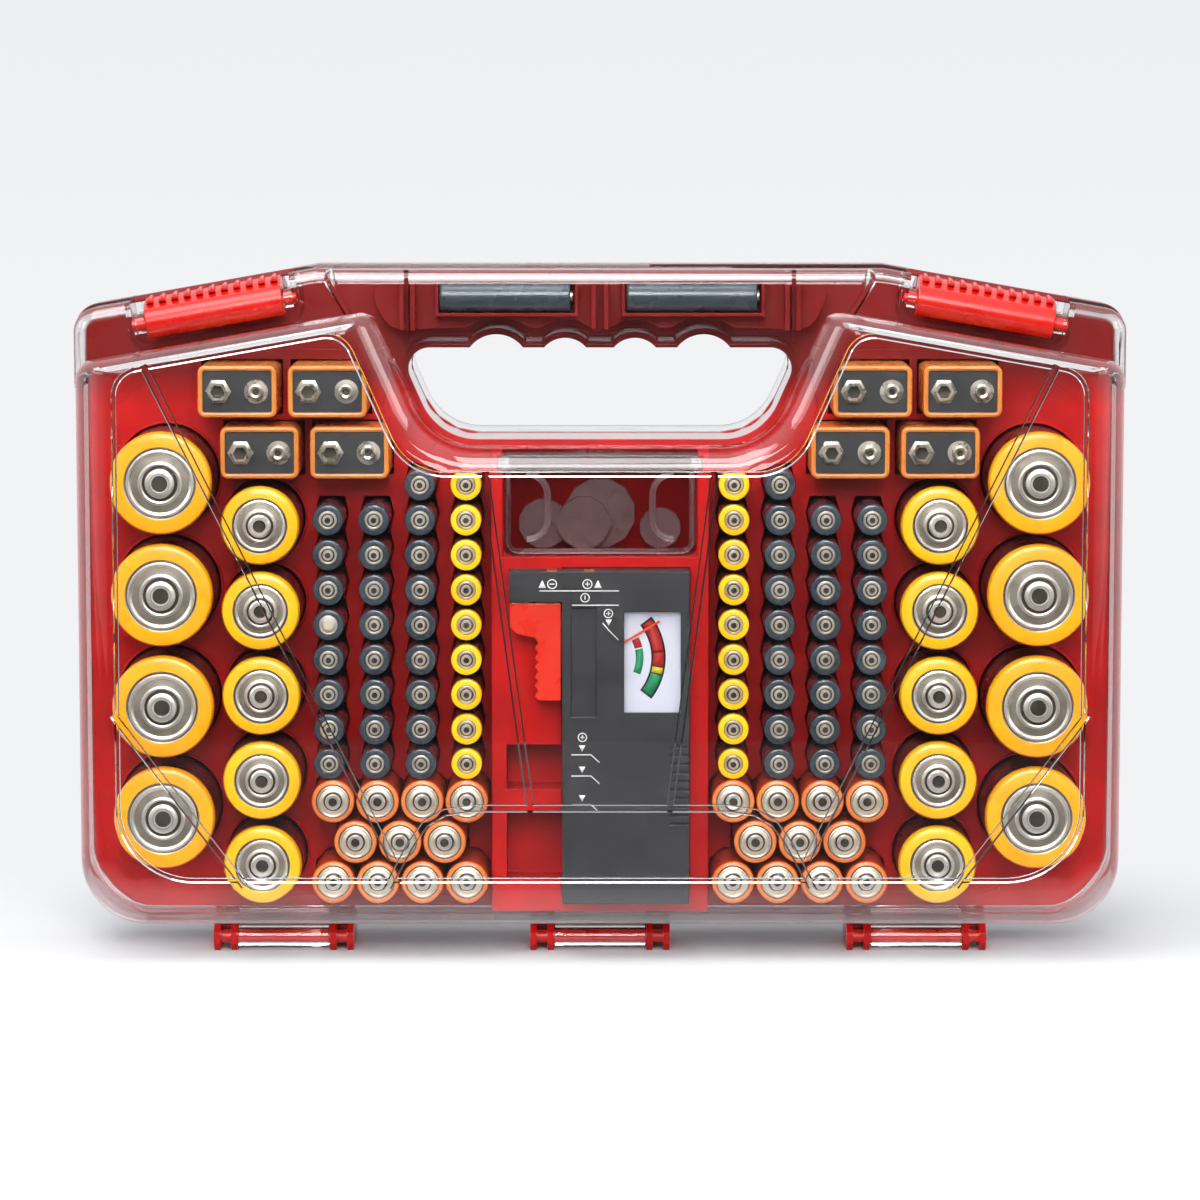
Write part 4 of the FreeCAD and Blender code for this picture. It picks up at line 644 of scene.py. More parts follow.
def round_cell(size, reverse=False, standing=True):
    """Cell laid along Y: nub, stepped steel disc, folded sleeve and its side.

    The profile is read outwards from the axis: the nub's flat top with a small dimple, its
    wall and groove, the turned disc with its bead, the sleeve's fold over the shoulder
    and the side. The raised rings, bead and nub are painted highlight, the dimple and grooves
    painted shade, and from a set height back from the cap the side is painted shade for the
    gaps between cells. A standing cell's cap stands proud of the tray's plate.
    """
    radius, length, disc, nub, proud, side_shade_start, segments = size
    tail = length - proud - PLATE_FRONT if standing else 0
    cap = tail - length
    fold = min(radius * 0.14, 1.8)
    label, steel, bright, dark, side = range(5)
    # Bright bands are painted highlight on raised rings, dark bands painted shade in the dimple
    # and grooves
    inner = [(nub * 0.45, 0.25, dark), (nub * 0.55, 0.0, bright), (nub * 0.86, 0.0, bright),
             (nub, 0.35, bright), (nub, 1.3, dark), (nub * 1.22, 1.45, bright),
             (nub * 1.34, 1.2, bright), (nub * 1.5, 1.5, steel)]
    if reverse:
        inner = [(nub * 0.45, 1.5, steel), (nub * 0.9, 1.35, bright), (nub * 1.5, 1.5, steel)]
    outer = [(disc * 0.81, 1.65, bright), (disc * 0.88, 1.15, bright),
             (disc * 0.94, 1.25, dark), (disc * 0.96, 1.6, bright), (disc, 1.2, label),
             (disc + 0.15, 0.95, label), (radius - fold, 0.95, label),
             (radius - fold * 0.3, 0.95 + fold * 0.3, label), (radius, 0.95 + fold, label),
             # From this height back from the cap the side is painted shade, the gap between cells
             (radius, side_shade_start, side), (radius, length - fold, side), (radius - fold, length, side)]
    steps = inner + outer
    return turned([(r, cap + y) for r, y, _ in steps], segments,
                  [finish for _, _, finish in steps[:-1]])


def mark_axes(piece, shape, count):
    """UV map of each point's place from its own cell's axis, in millimetres, x then z."""
    mesh = piece.data
    corners = np.empty(len(mesh.loops), int)
    mesh.loops.foreach_get("vertex_index", corners)
    local = np.tile(shape[0][:, (0, 2)], (count, 1))
    layer = mesh.uv_layers.new(name="from_axis")
    layer.data.foreach_set("uv", local[corners].ravel())


def cell_group(name, shape, spots, finishes, slot, node):
    """One piece of like cells standing at their (x, z) spots."""
    piece = moulding(name, repeated(shape, [(x, 0, z) for x, z in spots]),
                     [FINISHES[finish] for finish in finishes])
    mark_axes(piece, shape, len(spots))
    return fit(piece, "tray", slot, node)


def lying(shape, middle, way):
    """A cell drawn along Y laid along X, its length's middle at a place."""
    x, y, z = shape[0].T
    span = (y.min() + y.max()) / 2
    points = np.stack([-(y - span) * way, x, z], 1) + np.asarray(middle, float)
    return points, shape[1]


def flat_cells(name, shape, middles, finishes, slot, node):
    """Cells that lie on their sides."""
    shapes = [lying(shape, middle, way) for middle, way in middles]
    piece = moulding(name, joined(shapes), [FINISHES[finish] for finish in finishes])
    mark_axes(piece, shape, len(middles))
    return fit(piece, "tray", slot, node)


def nine_volt():
    """Rounded can with a copper rim and a sunk charcoal panel round the terminals."""
    x, z = NINE_HALF
    levels = [(0.0, NINE_TAIL), (0.0, NINE_CAP + 1.0), (0.3, NINE_CAP + 0.3), (1.0, NINE_CAP),
              (1.7, NINE_CAP + 0.25), (2.0, NINE_CAP + 0.6)]
    face, rim = 0, 1
    return ringed(stepped(rectangle(-x, x, -z, z), 2.6, 0.8, levels), [rim] * 4 + [face])


def snap_posts():
    """Hexagonal socket with petals on the left and a round stud on the right."""
    base, top = NINE_CAP + 0.6, NINE_CAP - 2.1
    step = math.pi / 3
    hexagon = np.array([(math.cos(step * k), math.sin(step * k)) for k in range(6)])
    rings = [in_plane(hexagon * size, y) for size, y in
             ((4.4, base), (4.4, base - 0.5), (3.3, base - 0.7), (3.5, top + 0.3),
              (3.2, top), (2.3, top), (2.1, top + 1.0), (1.2, top + 1.2))]
    # The socket's inner cup and the stud's central dimple take the second finish: painted shade
    socket = placed(ringed(np.stack(rings), [0, 0, 0, 0, 0, 1, 1]), (-6.35, 0, 0))
    stud = turned([(0.9, top + 0.9), (1.1, top + 0.2), (1.9, top), (2.5, top + 0.3),
                   (2.6, top + 0.9), (2.2, base - 0.9), (2.5, base - 0.5), (4.0, base - 0.4),
                   (4.0, base)], 24, [1] + [0] * 7)
    return joined([socket, placed(stud, (6.35, 0, 0))])


# Clear lids

def doubled(right_half):
    """Outline of the right half and its mirror image, starting at the lower left."""
    points = list(right_half) + [(-x, z) for x, z in reversed(right_half)]
    return points[-1:] + points[:-1]


def slope_height(x, drop):
    """Height of the shoulder line over x, lowered square to itself."""
    return SHOULDER_LOW + (HALF_WIDTH - abs(x)) * math.tan(SLOPE) - drop / math.cos(SLOPE)


CASE = doubled([(HALF_WIDTH, RIM_BOTTOM), (HALF_WIDTH, SHOULDER_LOW),
                (HANDLE_TOP_HALF, HANDLE_TOP)])
CASE_RADII = [FOOT_RADIUS, FOOT_RADIUS, SHOULDER_RADIUS, SMALL_RADIUS,
              SMALL_RADIUS, SHOULDER_RADIUS]
OPENING = [(-OPENING_FOOT_HALF, OPENING_BOTTOM), (OPENING_FOOT_HALF, OPENING_BOTTOM),
           (OPENING_TOP_HALF, OPENING_TOP), (-OPENING_TOP_HALF, OPENING_TOP)]
LEG_LEAN = (OPENING_TOP_HALF - OPENING_FOOT_HALF) / (OPENING_TOP - OPENING_BOTTOM)


def body_outline():
    """The lid's deep part: foot, sides, step line, legs and the opening's sill."""
    rise = (slope_height(OPENING_FOOT_HALF, RECESS_DEPTH) - OPENING_BOTTOM)
    rise /= 1 + math.tan(SLOPE) * LEG_LEAN
    root = (OPENING_FOOT_HALF + rise * LEG_LEAN, OPENING_BOTTOM + rise)
    return doubled([(HALF_WIDTH, RIM_BOTTOM), (HALF_WIDTH, slope_height(HALF_WIDTH, RECESS_DEPTH)),
                    root, (OPENING_FOOT_HALF, OPENING_BOTTOM)])


BODY = body_outline()
BODY_INSETS = np.array([17.7, 14.5, 5.0, 12.4, 9.4, 12.4, 5.0, 14.5])
BODY_TURNS = np.array([1, 1, 1, 1, -1, -1, 1, 1])
BODY_RADII = np.array([25.0, 25.0, 9.0, 9.0, 20.0, 20.0, 9.0, 9.0])
SHELF = doubled([(HALF_WIDTH, slope_height(HALF_WIDTH, RECESS_DEPTH + 12.0)),
                 (HALF_WIDTH, SHOULDER_LOW), (HANDLE_TOP_HALF, HANDLE_TOP)])
SHELF_INSETS = np.array([0, SHELF_INSET, SHELF_INSET, SHELF_INSET, SHELF_INSET, SHELF_INSET])
SHELF_RADII = np.array([3.0, 3.0, 9.0, 3.0, 3.0, 9.0])
HANDLE = [(-OPENING_FOOT_HALF, OPENING_BOTTOM - 9.4), (OPENING_FOOT_HALF, OPENING_BOTTOM - 9.4),
          (HANDLE_TOP_HALF, HANDLE_TOP), (-HANDLE_TOP_HALF, HANDLE_TOP)]
HANDLE_INSETS = np.array([0, 0, SHELF_INSET, 0])


def opening(extra):
    """Hand opening with finger scallops along its top, made wider all round by extra."""
    top = OPENING_TOP + extra
    radii = [OPENING_FOOT_RADIUS + extra] * 2 + [OPENING_TOP_RADIUS + extra] * 2
    outline = rounded(inset(OPENING, -extra), radii)
    scallops = []
    for place, radius, rise in SCALLOPS:
        radius += extra
        low = math.degrees(math.asin((radius - rise) / radius))
        scallops.append(arc((place, top + rise - radius), radius, low, 180 - low))
    level = np.abs(outline[:, 1] - top) < 1e-6
    order = np.arange(len(outline))
    right = order[level & (outline[:, 0] > 0)][0]
    left = order[level & (outline[:, 0] < 0)][0]
    return np.concatenate([outline[:right + 1], np.concatenate(scallops), outline[left:]])


def lofted(points, radii, turns, insets, levels, skin):
    """Skin through an outline that draws in by each level's share of its insets."""
    rings = []
    for y, share, step in levels:
        amounts = insets * share + step + skin
        draw = (amounts + np.roll(amounts, 1)) / 2
        level_radii = np.maximum(radii - turns * draw, SMALL_RADIUS / 2)
        rings.append(in_plane(rounded(inset(points, amounts), level_radii), y))
    return ringed(np.stack(rings))


def rounded_levels(depth, rounding, knee, way, skin):
    """(y, share, step) from the rim over a lip and a drafted side to a rounded face edge."""
    rim = RIM_HALF_DEPTH + SEAM - (OVERRUN if skin else 0)
    lip = 0 if skin else LIP_STEP
    levels = [(way * rim, 0, 0)]
    if not skin:
        levels += [(way * (rim + LIP_DEPTH), 0, 0), (way * (rim + LIP_DEPTH + 0.4), 0, lip)]
    for angle in np.linspace(0, math.pi / 2, EDGE_STEPS):
        y = depth - skin - rounding * (1 - math.sin(angle))
        share = knee + (1 - knee) * (1 - math.cos(angle))
        levels.append((way * y, share, lip * (1 - share)))
    return levels


def recess(skin, way, depth):
    """The hollow a latch lies in, in the latch's own frame."""
    half = RECESS_LENGTH / 2 + skin
    low, high = LATCH_DROP - RECESS_DEPTH - skin, LATCH_DROP + 12.0
    outline = rounded(rectangle(-half, half, low, high),
                      [RECESS_RADIUS + skin, RECESS_RADIUS + skin, 3.0, 3.0], 10)
    return prism(outline, -way * OVERRUN, way * (depth + OVERRUN))


def lid_form(depth, way, skin, sizes):
    """Outer form of a lid, or with a skin the hollow inside it."""
    knee = EDGE_DRAFT / 14.5
    deep = lofted(BODY, BODY_RADII, BODY_TURNS, BODY_INSETS,
                  rounded_levels(depth, sizes.edge_round / MM, knee, way, skin), skin)
    low = lofted(SHELF, SHELF_RADII, np.ones(6), SHELF_INSETS,
                 rounded_levels(SHELF_DEPTH, SHELF_INSET, 0, way, skin), skin)
    grip = lofted(HANDLE, np.full(4, 3.0), np.ones(4), HANDLE_INSETS,
                  rounded_levels(HANDLE_DEPTH, SHELF_INSET, 0, way, skin), skin)
    hole = prism(opening(skin), -way * OVERRUN, way * (depth + OVERRUN))
    form = carved("form", low, [("UNION", grip), ("DIFFERENCE", hole), ("UNION", deep)])
    hollows = [("DIFFERENCE", to_shoulder(recess(skin, way, depth), side)) for side in SIDES]
    return carved("form", form, hollows)


RIDGE = [(-1.35, -0.5), (-1.35, 0.3), (-0.8, 1.1), (0.8, 1.1), (1.35, 0.3), (1.35, -0.5)]
WINDOW_BEAD = [(-0.9, -0.5), (-0.9, 0.2), (-0.35, 0.9), (0.35, 0.9), (0.9, 0.2), (0.9, -0.5)]
RIDGE_PATHS = (
    [(-151.3, 202.0), (-69.4, 36.0)],
    [(-162.6, 85.0), (-119.1, 27.1)],
    [(-38.2, 166.1), (-23.4, 54.3)],
)
PANEL_PATH = [(0.0, 53.6), (-43.0, 53.6), (-52.0, 52.2), (-58.4, 48.5), (-63.2, 41.7),
              (-67.2, 34.3), (-71.1, 26.8)]


def ridges(depth, way):
    """Rounded beads inside the window's panels, standing from the lid's inner face."""
    beads = [swept(RIDGE, np.asarray(path) * (-side, 1))
             for side in SIDES for path in RIDGE_PATHS + (PANEL_PATH,)]
    window = rounded(inset(BODY, BODY_INSETS + BEAD_INSET), BODY_RADII)
    beads.append(swept(WINDOW_BEAD, window, closed=True))
    return [(points * (1, way, 1) + (0, way * (depth - RIDGE_ROOT), 0), faces)
            for points, faces in beads]


def clip_shape(way):
    """Open clips that snap on the hinge cores, with a neck up to the lid's foot."""
    y = way * HINGE_OFFSET
    wrap = np.linspace(0, math.radians(-CLIP_WRAP * way), CLIP_POINTS)
    angle = math.radians(-90 - CLIP_START * way) + wrap
    outer, inner = (np.stack([y + radius * np.cos(angle), LUG_RADIUS + radius * np.sin(angle)], 1)
                    for radius in (CLIP_RADIUS, CORE_RADIUS + CLIP_GAP))
    section = np.concatenate([outer, inner[::-1]])
    shapes = []
    for place in HINGE_PLACES:
        ends = (place - CLIP_HALF, place + CLIP_HALF)
        shapes.append(along_x(section, ends))
        shapes.append(block(*ends, y - NECK_HALF, y + NECK_HALF,
                            LUG_RADIUS + NECK_FOOT, RIM_BOTTOM + NECK_HEAD))
    return shapes


def boss_shapes(way):
    """Bosses at both ends of a latch recess, round the latch's pins."""
    inner, outer = LATCH_LENGTH / 2 + HOOK_GAP, RECESS_LENGTH / 2 + BOSS_ROOT
    return [rod_across(BOSS_RADIUS, way * LATCH_AXIS_DEPTH, 0, near, far, 28)
            for near, far in ((-outer, -inner), (inner, outer))]


def make_lid(node, depth, way, sizes):
    """A clear lid: outer form less its hollow, with bosses, dividers, clips and ridges."""
    outer = lid_form(depth, way, 0, sizes)
    tools = [("DIFFERENCE", lid_form(depth, way, sizes.lid_wall / MM, sizes))]
    added = []
    for side in SIDES:
        added += [to_shoulder(boss, side) for boss in boss_shapes(way)]
        x = side * DIVIDER_PLACE
        added.append(block(x - DIVIDER_WIDTH / 2, x + DIVIDER_WIDTH / 2,
                           way * (GRIP_FRONT + SEAM), way * (HANDLE_DEPTH - 1.0),
                           OPENING_TOP + 1.0, HANDLE_TOP - 1.0))
    tools += [("UNION", shape) for shape in added + clip_shape(way) + ridges(depth, way)]
    lid = finished(carved(node, outer, tools), node + "_dressed", [FINISHES["clear"]], LID_SHARP)
    return fit(lid, node, "lid_clear", node)


# Latches

def latch_section(way):
    """(y, z) outline of the latch: half-round bar, flat thumb plate and hook."""
    half_round = arc((0, 0), LATCH_RADIUS, 90, 270, 7.5)
    front = [(2.0, -2.0), (2.0, HOOK_UNDER), (LATCH_REACH, HOOK_UNDER),
             (LATCH_REACH, LATCH_TOP - 0.4), (LATCH_REACH - 0.5, LATCH_TOP),
             (LATCH_REACH - 4.0, LATCH_TOP), (3.0, LATCH_TOP - 1.2)]
    points = np.concatenate([np.array(front), half_round])
    return np.stack([way * LATCH_AXIS_DEPTH - way * points[:, 0], points[:, 1]], 1)


def latch_shape(way):
    """Latch section carried along its own x, with its end edges drawn in a little."""
    section = latch_section(way)
    middle = section.mean(0)
    half = LATCH_LENGTH / 2
    stations = ((-half, 0.94), (-half + 0.5, 1.0), (half - 0.5, 1.0), (half, 0.94))
    rings = [np.column_stack([np.full(len(section), x), middle + (section - middle) * size])
             for x, size in stations]
    return ringed(np.stack(rings))


def thumb_ribs(way, count):
    """Rounded ribs across the thumb plate, running from its back edge over its front edge."""
    pitch = LATCH_LENGTH / count
    turn = np.radians(np.linspace(0, 180, 9))
    profile = np.stack([RIB_HALF * np.cos(turn), RIB_RISE * np.sin(turn) - RIB_SINK], 1)
    levels = ((0.2, 0.4), (0.9, 0.9), (2.0, 1.0), (LATCH_REACH - 1.6, 1.0),
              (LATCH_REACH - 0.6, 0.85), (LATCH_REACH - 0.1, 0.4))
    shapes = []
    for place in range(count):
        middle = -LATCH_LENGTH / 2 + pitch * (place + 0.5)
        rings = []
        for depth, size in levels:
            top = LATCH_TOP - 0.05 if depth > 4 else LATCH_TOP - 1.0 + depth * 0.22
            y = way * LATCH_AXIS_DEPTH - way * depth
            rings.append(np.column_stack([middle + profile[:, 0] * size,
                                          np.full(len(profile), y),
                                          top + profile[:, 1] * size]))
        shapes.append(ringed(np.stack(rings)))
    return shapes


def thumb_lobes(way):
    """Two smooth lobes that rise from the thumb plate of a back latch."""
    shapes = []
    for end in (-1, 1):
        rise = arc((end * LATCH_LENGTH / 4, LATCH_TOP - LOBE_SINK), LOBE_RADIUS, 25, 155)
        foot = [(rise[place][0], HOOK_UNDER + 1) for place in (-1, 0)]
        outline = np.concatenate([rise, foot])
        rings = [in_plane(outline, way * LATCH_AXIS_DEPTH - way * depth)
                 for depth in (6.0, LATCH_REACH - 0.1)]
        shapes.append(ringed(np.stack(rings)))
    return shapes


# Tray dressing

def rim_bead():
    """Rounded bead along the case outline, over the tray's rim and inside its planes."""
    outline = rounded(CASE, CASE_RADII)
    turn = np.radians(np.linspace(-90, 90, 7))
    crown = np.stack([np.cos(turn) - 1.0, RIM_HALF_DEPTH * np.sin(turn)], 1)
    profile = np.concatenate([crown, [(-BEAD_ROOT, RIM_HALF_DEPTH),
                                      (-BEAD_ROOT, -RIM_HALF_DEPTH)]])
    return swept(profile, outline, closed=True)


def pocket_lip(radius, segments):
    """Rounded collar at a pocket's mouth and the smooth wall behind it."""
    inner = radius + 0.35
    outer = radius + 1.6
    face = -PLATE_FRONT
    profile = np.array([(inner, 12.0), (inner, face + 0.4), (inner + 0.3, face - 0.35),
                        (outer - 0.4, face - 0.35), (outer, face + 0.2), (outer, face + 0.6),
                        (inner + 0.5, 12.0)])
    return looped(spun(profile, segments))


def hinge_dressing():
    """Round lugs and cores over the tray's hinge stubs."""
    lug = np.concatenate([arc((-HINGE_OFFSET, LUG_RADIUS), LUG_RADIUS, 90, 270),
                          arc((HINGE_OFFSET, LUG_RADIUS), LUG_RADIUS, -90, 90)])
    shapes = []
    for place in HINGE_PLACES:
        lefts = [place + offset - LUG_WIDTH / 2 for offset in LUG_PLACES]
        shapes += [along_x(lug, (left, left + LUG_WIDTH)) for left in lefts]
        shapes += [rod_across(CORE_RADIUS + CORE_COVER, way * HINGE_OFFSET, LUG_RADIUS,
                              place + LUG_PLACES[0], place + LUG_PLACES[-1])
                   for way in (FRONT, BACK)]
    return shapes


COIN_FACE, COIN_WALL, COIN_HALF, COIN_FOOT, COIN_TOP = -22.0, 1.8, 32.5, 136.7, 170.2
COIN_HINGE, COIN_PIN_HALF, COIN_BORDER = 169.3, 34.1, (30.8, 138.4, 167.2)
FINGER_MIDDLE, FINGER_EDGE = 153.5, 34.0


def finger_path(side):
    """Path of a finger ridge on the coin lid, from its lower end round to its upper end."""
    edge, inner = side * FINGER_EDGE, side * 17.6
    path = rounded([(edge, 142.5), (inner, 142.5), (inner, 164.5), (edge, 164.5)],
                   [2.0, 7.0, 7.0, 2.0], 10)
    path = path[np.abs(path[:, 0]) < COIN_HALF - 1.0]
    path = np.roll(path, -np.argmax(np.abs(path[:, 0])), 0)
    return path[np.argsort(np.arctan2(path[:, 1] - FINGER_MIDDLE, (path[:, 0] - edge) * -side))]


# Tester print

PRINT_FACE, LINE, RING_SEGMENTS = -33.02, 0.35, 40
INK_ROOT, INK_PROUD = 0.05, 0.04
# Signs: place, ring radius, half bar across and half bar upwards
SIGNS = ((-16.0, 128.5, 1.5, 0.8, 0), (-4.2, 128.5, 1.5, 0.8, 0.8), (-5.0, 123.9, 1.4, 0, 0.7),
         (2.8, 118.6, 1.4, 0.7, 0.7), (-5.9, 76.8, 1.4, 0.7, 0.7))
# Arrowheads: place, size and way up or down
ARROWS = ((-19.3, 128.5, 1.3, 1), (-0.7, 128.5, 1.3, 1), (2.9, 115.5, 1.1, -1),
          (-6.0, 73.0, 1.1, -1), (-6.0, 65.8, 1.1, -1), (-6.0, 56.1, 1.1, -1))
RULES = [[(-20.2, 126.2), (6.3, 126.2)], [(-9.3, 121.4), (6.3, 121.4)],
         [(0.9, 115.4), (2.9, 113.0), (6.2, 109.7)]]
RULES += [[(-9.6, z), (-3.0, z), (-0.2, z - 2.6)] for z in (70.9, 63.7, 54.0)]
DIAL_FACE, DIAL_CENTRE = -29.95, (-0.6, 103.4)
BLACK_INK, RED_INK, GREEN_INK, YELLOW_INK = range(4)
# Bands of the dial: radii, angles, height over the card and ink
BANDS = ((17.8, 22.6, -38, 38, 0, BLACK_INK), (18.4, 22.0, 6, 36.5, 0.1, RED_INK),
         (18.4, 22.0, -8, 5, 0.1, RED_INK), (18.4, 22.0, -15, -9, 0.1, YELLOW_INK),
         (18.4, 22.0, -36.5, -16, 0.1, GREEN_INK), (12.6, 15.2, 14, 27, 0, RED_INK),
         (12.6, 15.2, -22, 12, 0, GREEN_INK))


def ring_print(x, z, radius):
    """Thin printed ring."""
    profile = [(radius + half, PRINT_FACE + face)
               for half, face in ((LINE / 2, INK_ROOT), (LINE / 2, -INK_PROUD),
                                  (-LINE / 2, -INK_PROUD), (-LINE / 2, INK_ROOT))]
    return placed(looped(spun(profile, RING_SEGMENTS)), (x, 0, z))


def stroke(points):
    """Thin printed line through (x, z) points."""
    low, high = -PRINT_FACE - INK_ROOT, -PRINT_FACE + INK_PROUD
    half = LINE / 2
    return swept([(-half, low), (-half, high), (half, high), (half, low)], points)


def triangle(x, z, size, way):
    """Thin printed arrowhead."""
    points = [(x - size, z - way * size), (x + size, z - way * size), (x, z + way * size)]
    return prism(points[::way], PRINT_FACE + INK_ROOT, PRINT_FACE - INK_PROUD)


def band(inner, outer, start, end, height, ink):
    """Thin printed piece of a ring on the dial, between two angles."""
    y = DIAL_FACE - height
    outline = np.concatenate([arc(DIAL_CENTRE, outer, start, end, 3),
                              arc(DIAL_CENTRE, inner, start, end, 3)[::-1]])
    return prism(outline, y + INK_PROUD, y - INK_PROUD, ink)


# Sizes and colours that a user would change

class CaseSizes(bpy.types.PropertyGroup):
    """Sizes of the case's visible forms."""
    edge_round: FloatProperty(name="Edge round", description="Radius of the lids' front edges",
                              default=12.0 * MM, unit="LENGTH")
    lid_wall: FloatProperty(name="Lid wall", description="Thickness of the clear lids",
                            default=2.0 * MM, unit="LENGTH")
    front_depth: FloatProperty(name="Front lid depth", description="Tray plane to lid face",
                               default=40.5 * MM, unit="LENGTH")
    back_depth: FloatProperty(name="Back lid depth", description="Tray plane to lid face",
                              default=33.0 * MM, unit="LENGTH")
    rib_count: IntProperty(name="Latch ribs", description="Ribs on a front latch", default=11)


class StageSettings(bpy.types.PropertyGroup):
    """The camera's place and the lamps' strength."""
    distance: FloatProperty(name="Camera distance", description="From the camera to y = 0",
                            default=1.5725, unit="LENGTH")
    height: FloatProperty(name="Camera height", description="Above the floor",
                          default=0.303, unit="LENGTH")
    pitch: FloatProperty(name="Camera pitch", description="Below the horizon",
                         default=math.radians(6.65), subtype="ANGLE")
    lens: FloatProperty(name="Lens", description="On a 36 mm sensor", default=139.5)
    key: FloatProperty(name="Key lamp", description="Power of the large lamp above", default=15.0)
    front: FloatProperty(name="Front lamp", description="Power of the lamp over the camera",
                         default=26.0)
    fill: FloatProperty(name="Fill lamp", description="Power of each side lamp", default=5.0)
    surround: FloatProperty(name="Surround", description="Brightness of the studio above",
                            default=1.0)
    backdrop: FloatVectorProperty(name="Backdrop", description="Tone at the top of the sweep",
                                  default=linear("EEEFF2")[:3], subtype="COLOR", size=3)


# Operators

SWEEP_FRONT, SWEEP_FLAT, SWEEP_RADIUS, SWEEP_HALF = -0.55, 1.2, 0.8, 4.0
NIGHT = 0.03   # strength of the world round the camera
LAMP_AIM = (0, 0, 0.12)
# Lamps: name, place, width and the setting that holds their power
LAMPS = (("key_lamp", (-0.3, -0.7, 1.6), 1.0, "key"),
         ("front_lamp", (0.0, -1.8, 1.05), 0.9, "front"),
         ("left_lamp", (-1.5, -0.8, 0.8), 0.7, "fill"),
         ("right_lamp", (1.5, -0.8, 0.8), 0.7, "fill"))


class CASE_OT_cells(bpy.types.Operator):
    """Round and square cells with folded sleeves and steel caps"""
    bl_idname = "battery_case.cells"
    bl_label = "Cells"

    def execute(self, context):
        metal = ("cap", "bright", "groove_painted_shade")
        pale = ("small_cap", "bright", "groove_painted_shade")
        grey, copper = ("grey",) + pale + ("grey",), ("copper",) + pale + ("copper_side_painted_shade",)
        upright = [spot for spot in GREY_SPOTS if spot != REVERSED_SPOT]
        for name, size, spots, finishes, slot, node in (
                ("d_cells", D_SIZE, D_SPOTS, ("d_label",) + metal + ("sleeve_side_painted_shade",),
                 "d_label", "d_cells"),
                ("c_cells", C_SIZE, C_SPOTS, ("c_label",) + metal + ("sleeve_side_painted_shade",),
                 "c_label", "c_cells"),
                ("yellow_aaa", AAA_SIZE, YELLOW_SPOTS, ("yellow",) + pale + ("sleeve_side_painted_shade",),
                 "yellow_label", "aaa_cells_yellow"),
                ("grey_aaa", AAA_SIZE, upright, grey, "grey_label", "aaa_cells_grey"),
                ("reversed_aaa", REVERSED_SIZE, [REVERSED_SPOT], grey,
                 "grey_label", "aaa_cells_grey"),
                ("aa", AA_SIZE, AA_SPOTS, copper, "copper_label", "aa_cells")):
            cell_group(name + "_dressed", round_cell(size, size is REVERSED_SIZE), spots,
                       finishes, slot, node)
        x, y, z = GRIP_CELL
        flat_cells("handle_cells_dressed", round_cell(GRIP_SIZE, standing=False),
                   [((side * x, y, z), 1) for side in SIDES], grey, "grey_label",
                   "handle_cells")
        x, y, heights = BACK_CELLS
        middles = [((side * x, y, z), 1 if place % 2 else -1)
                   for side in SIDES for place, z in enumerate(heights)]
        flat_cells("back_aa_dressed", round_cell(BACK_SIZE, standing=False), middles,
                   ("copper",) + metal + ("sleeve_side_painted_shade",), "copper_label", "back_aa_cells")
        places = [(x, 0, z) for x, z in NINE_SPOTS]
        cans = moulding("nine_volt_dressed", repeated(nine_volt(), places),
                        [FINISHES["nine_face"], FINISHES["nine_rim"]])
        fit(cans, "tray", "nine_volt_case", "nine_volt_cells")
        posts = moulding("nine_volt_posts_dressed", repeated(snap_posts(), places),
                         [FINISHES["snap"], FINISHES["socket_painted_shade"]])
        fit(posts, "tray", "contact_metal", "nine_volt_posts")
        return {"FINISHED"}


class CASE_OT_lids(bpy.types.Operator):
    """Clear lids with rounded faces, ridges, bosses and hinge clips"""
    bl_idname = "battery_case.lids"
    bl_label = "Clear lids"

    def execute(self, context):
        sizes = context.scene.case_sizes
        make_lid("front_lid", sizes.front_depth / MM, FRONT, sizes)
        make_lid("back_lid", sizes.back_depth / MM, BACK, sizes)
        return {"FINISHED"}


class CASE_OT_latches(bpy.types.Operator):
    """Latches: ribbed at the front, lobed at the back"""
    bl_idname = "battery_case.latches"
    bl_label = "Latches"

    def execute(self, context):
        count = context.scene.case_sizes.rib_count
        for way, word in ((FRONT, "front"), (BACK, "back")):
            for side, side_word in ((LEFT, "left"), (RIGHT, "right")):
                extra = thumb_ribs(way, count) if way == FRONT else thumb_lobes(way)
                pin = rod_across(PIN_RADIUS, way * LATCH_AXIS_DEPTH, 0, -PIN_HALF, PIN_HALF,
                                 20, 0.2)
                name = "%s_latch_%s" % (word, side_word)
                shape = to_shoulder(joined([latch_shape(way), pin] + extra), side)
                piece = moulding(name + "_dressed", shape, [FINISHES["latch"]])
                fit(piece, name, "latch_red", name)
        return {"FINISHED"}


class CASE_OT_tray(bpy.types.Operator):
    """Finish of the red tray, its rim bead, pocket mouths and hinges"""
    bl_idname = "battery_case.tray"
    bl_label = "Tray"

    def execute(self, context):
        for node in ("tray", "latch_keepers", "cell_plates", "cell_cups", "centre_bay",
                     "handle_grip"):
            frame["nodes"][node].material_slots[0].material = FINISHES["tray"]
        bead = moulding("rim_bead", rim_bead(), [FINISHES["tray"]])
        fit(bead, "tray", "tray_red")
        lips = [repeated(pocket_lip(size[0], size[-1]), [(x, 0, z) for x, z in spots])
                for size, spots in ((D_SIZE, D_SPOTS), (C_SIZE, C_SPOTS))]
        fit(moulding("pocket_mouths", joined(lips), [FINISHES["tray"]]), "tray", "tray_red")
        fit(moulding("hinge_rounds", joined(hinge_dressing()), [FINISHES["latch"]]),
            "tray", "tray_red")
        return {"FINISHED"}


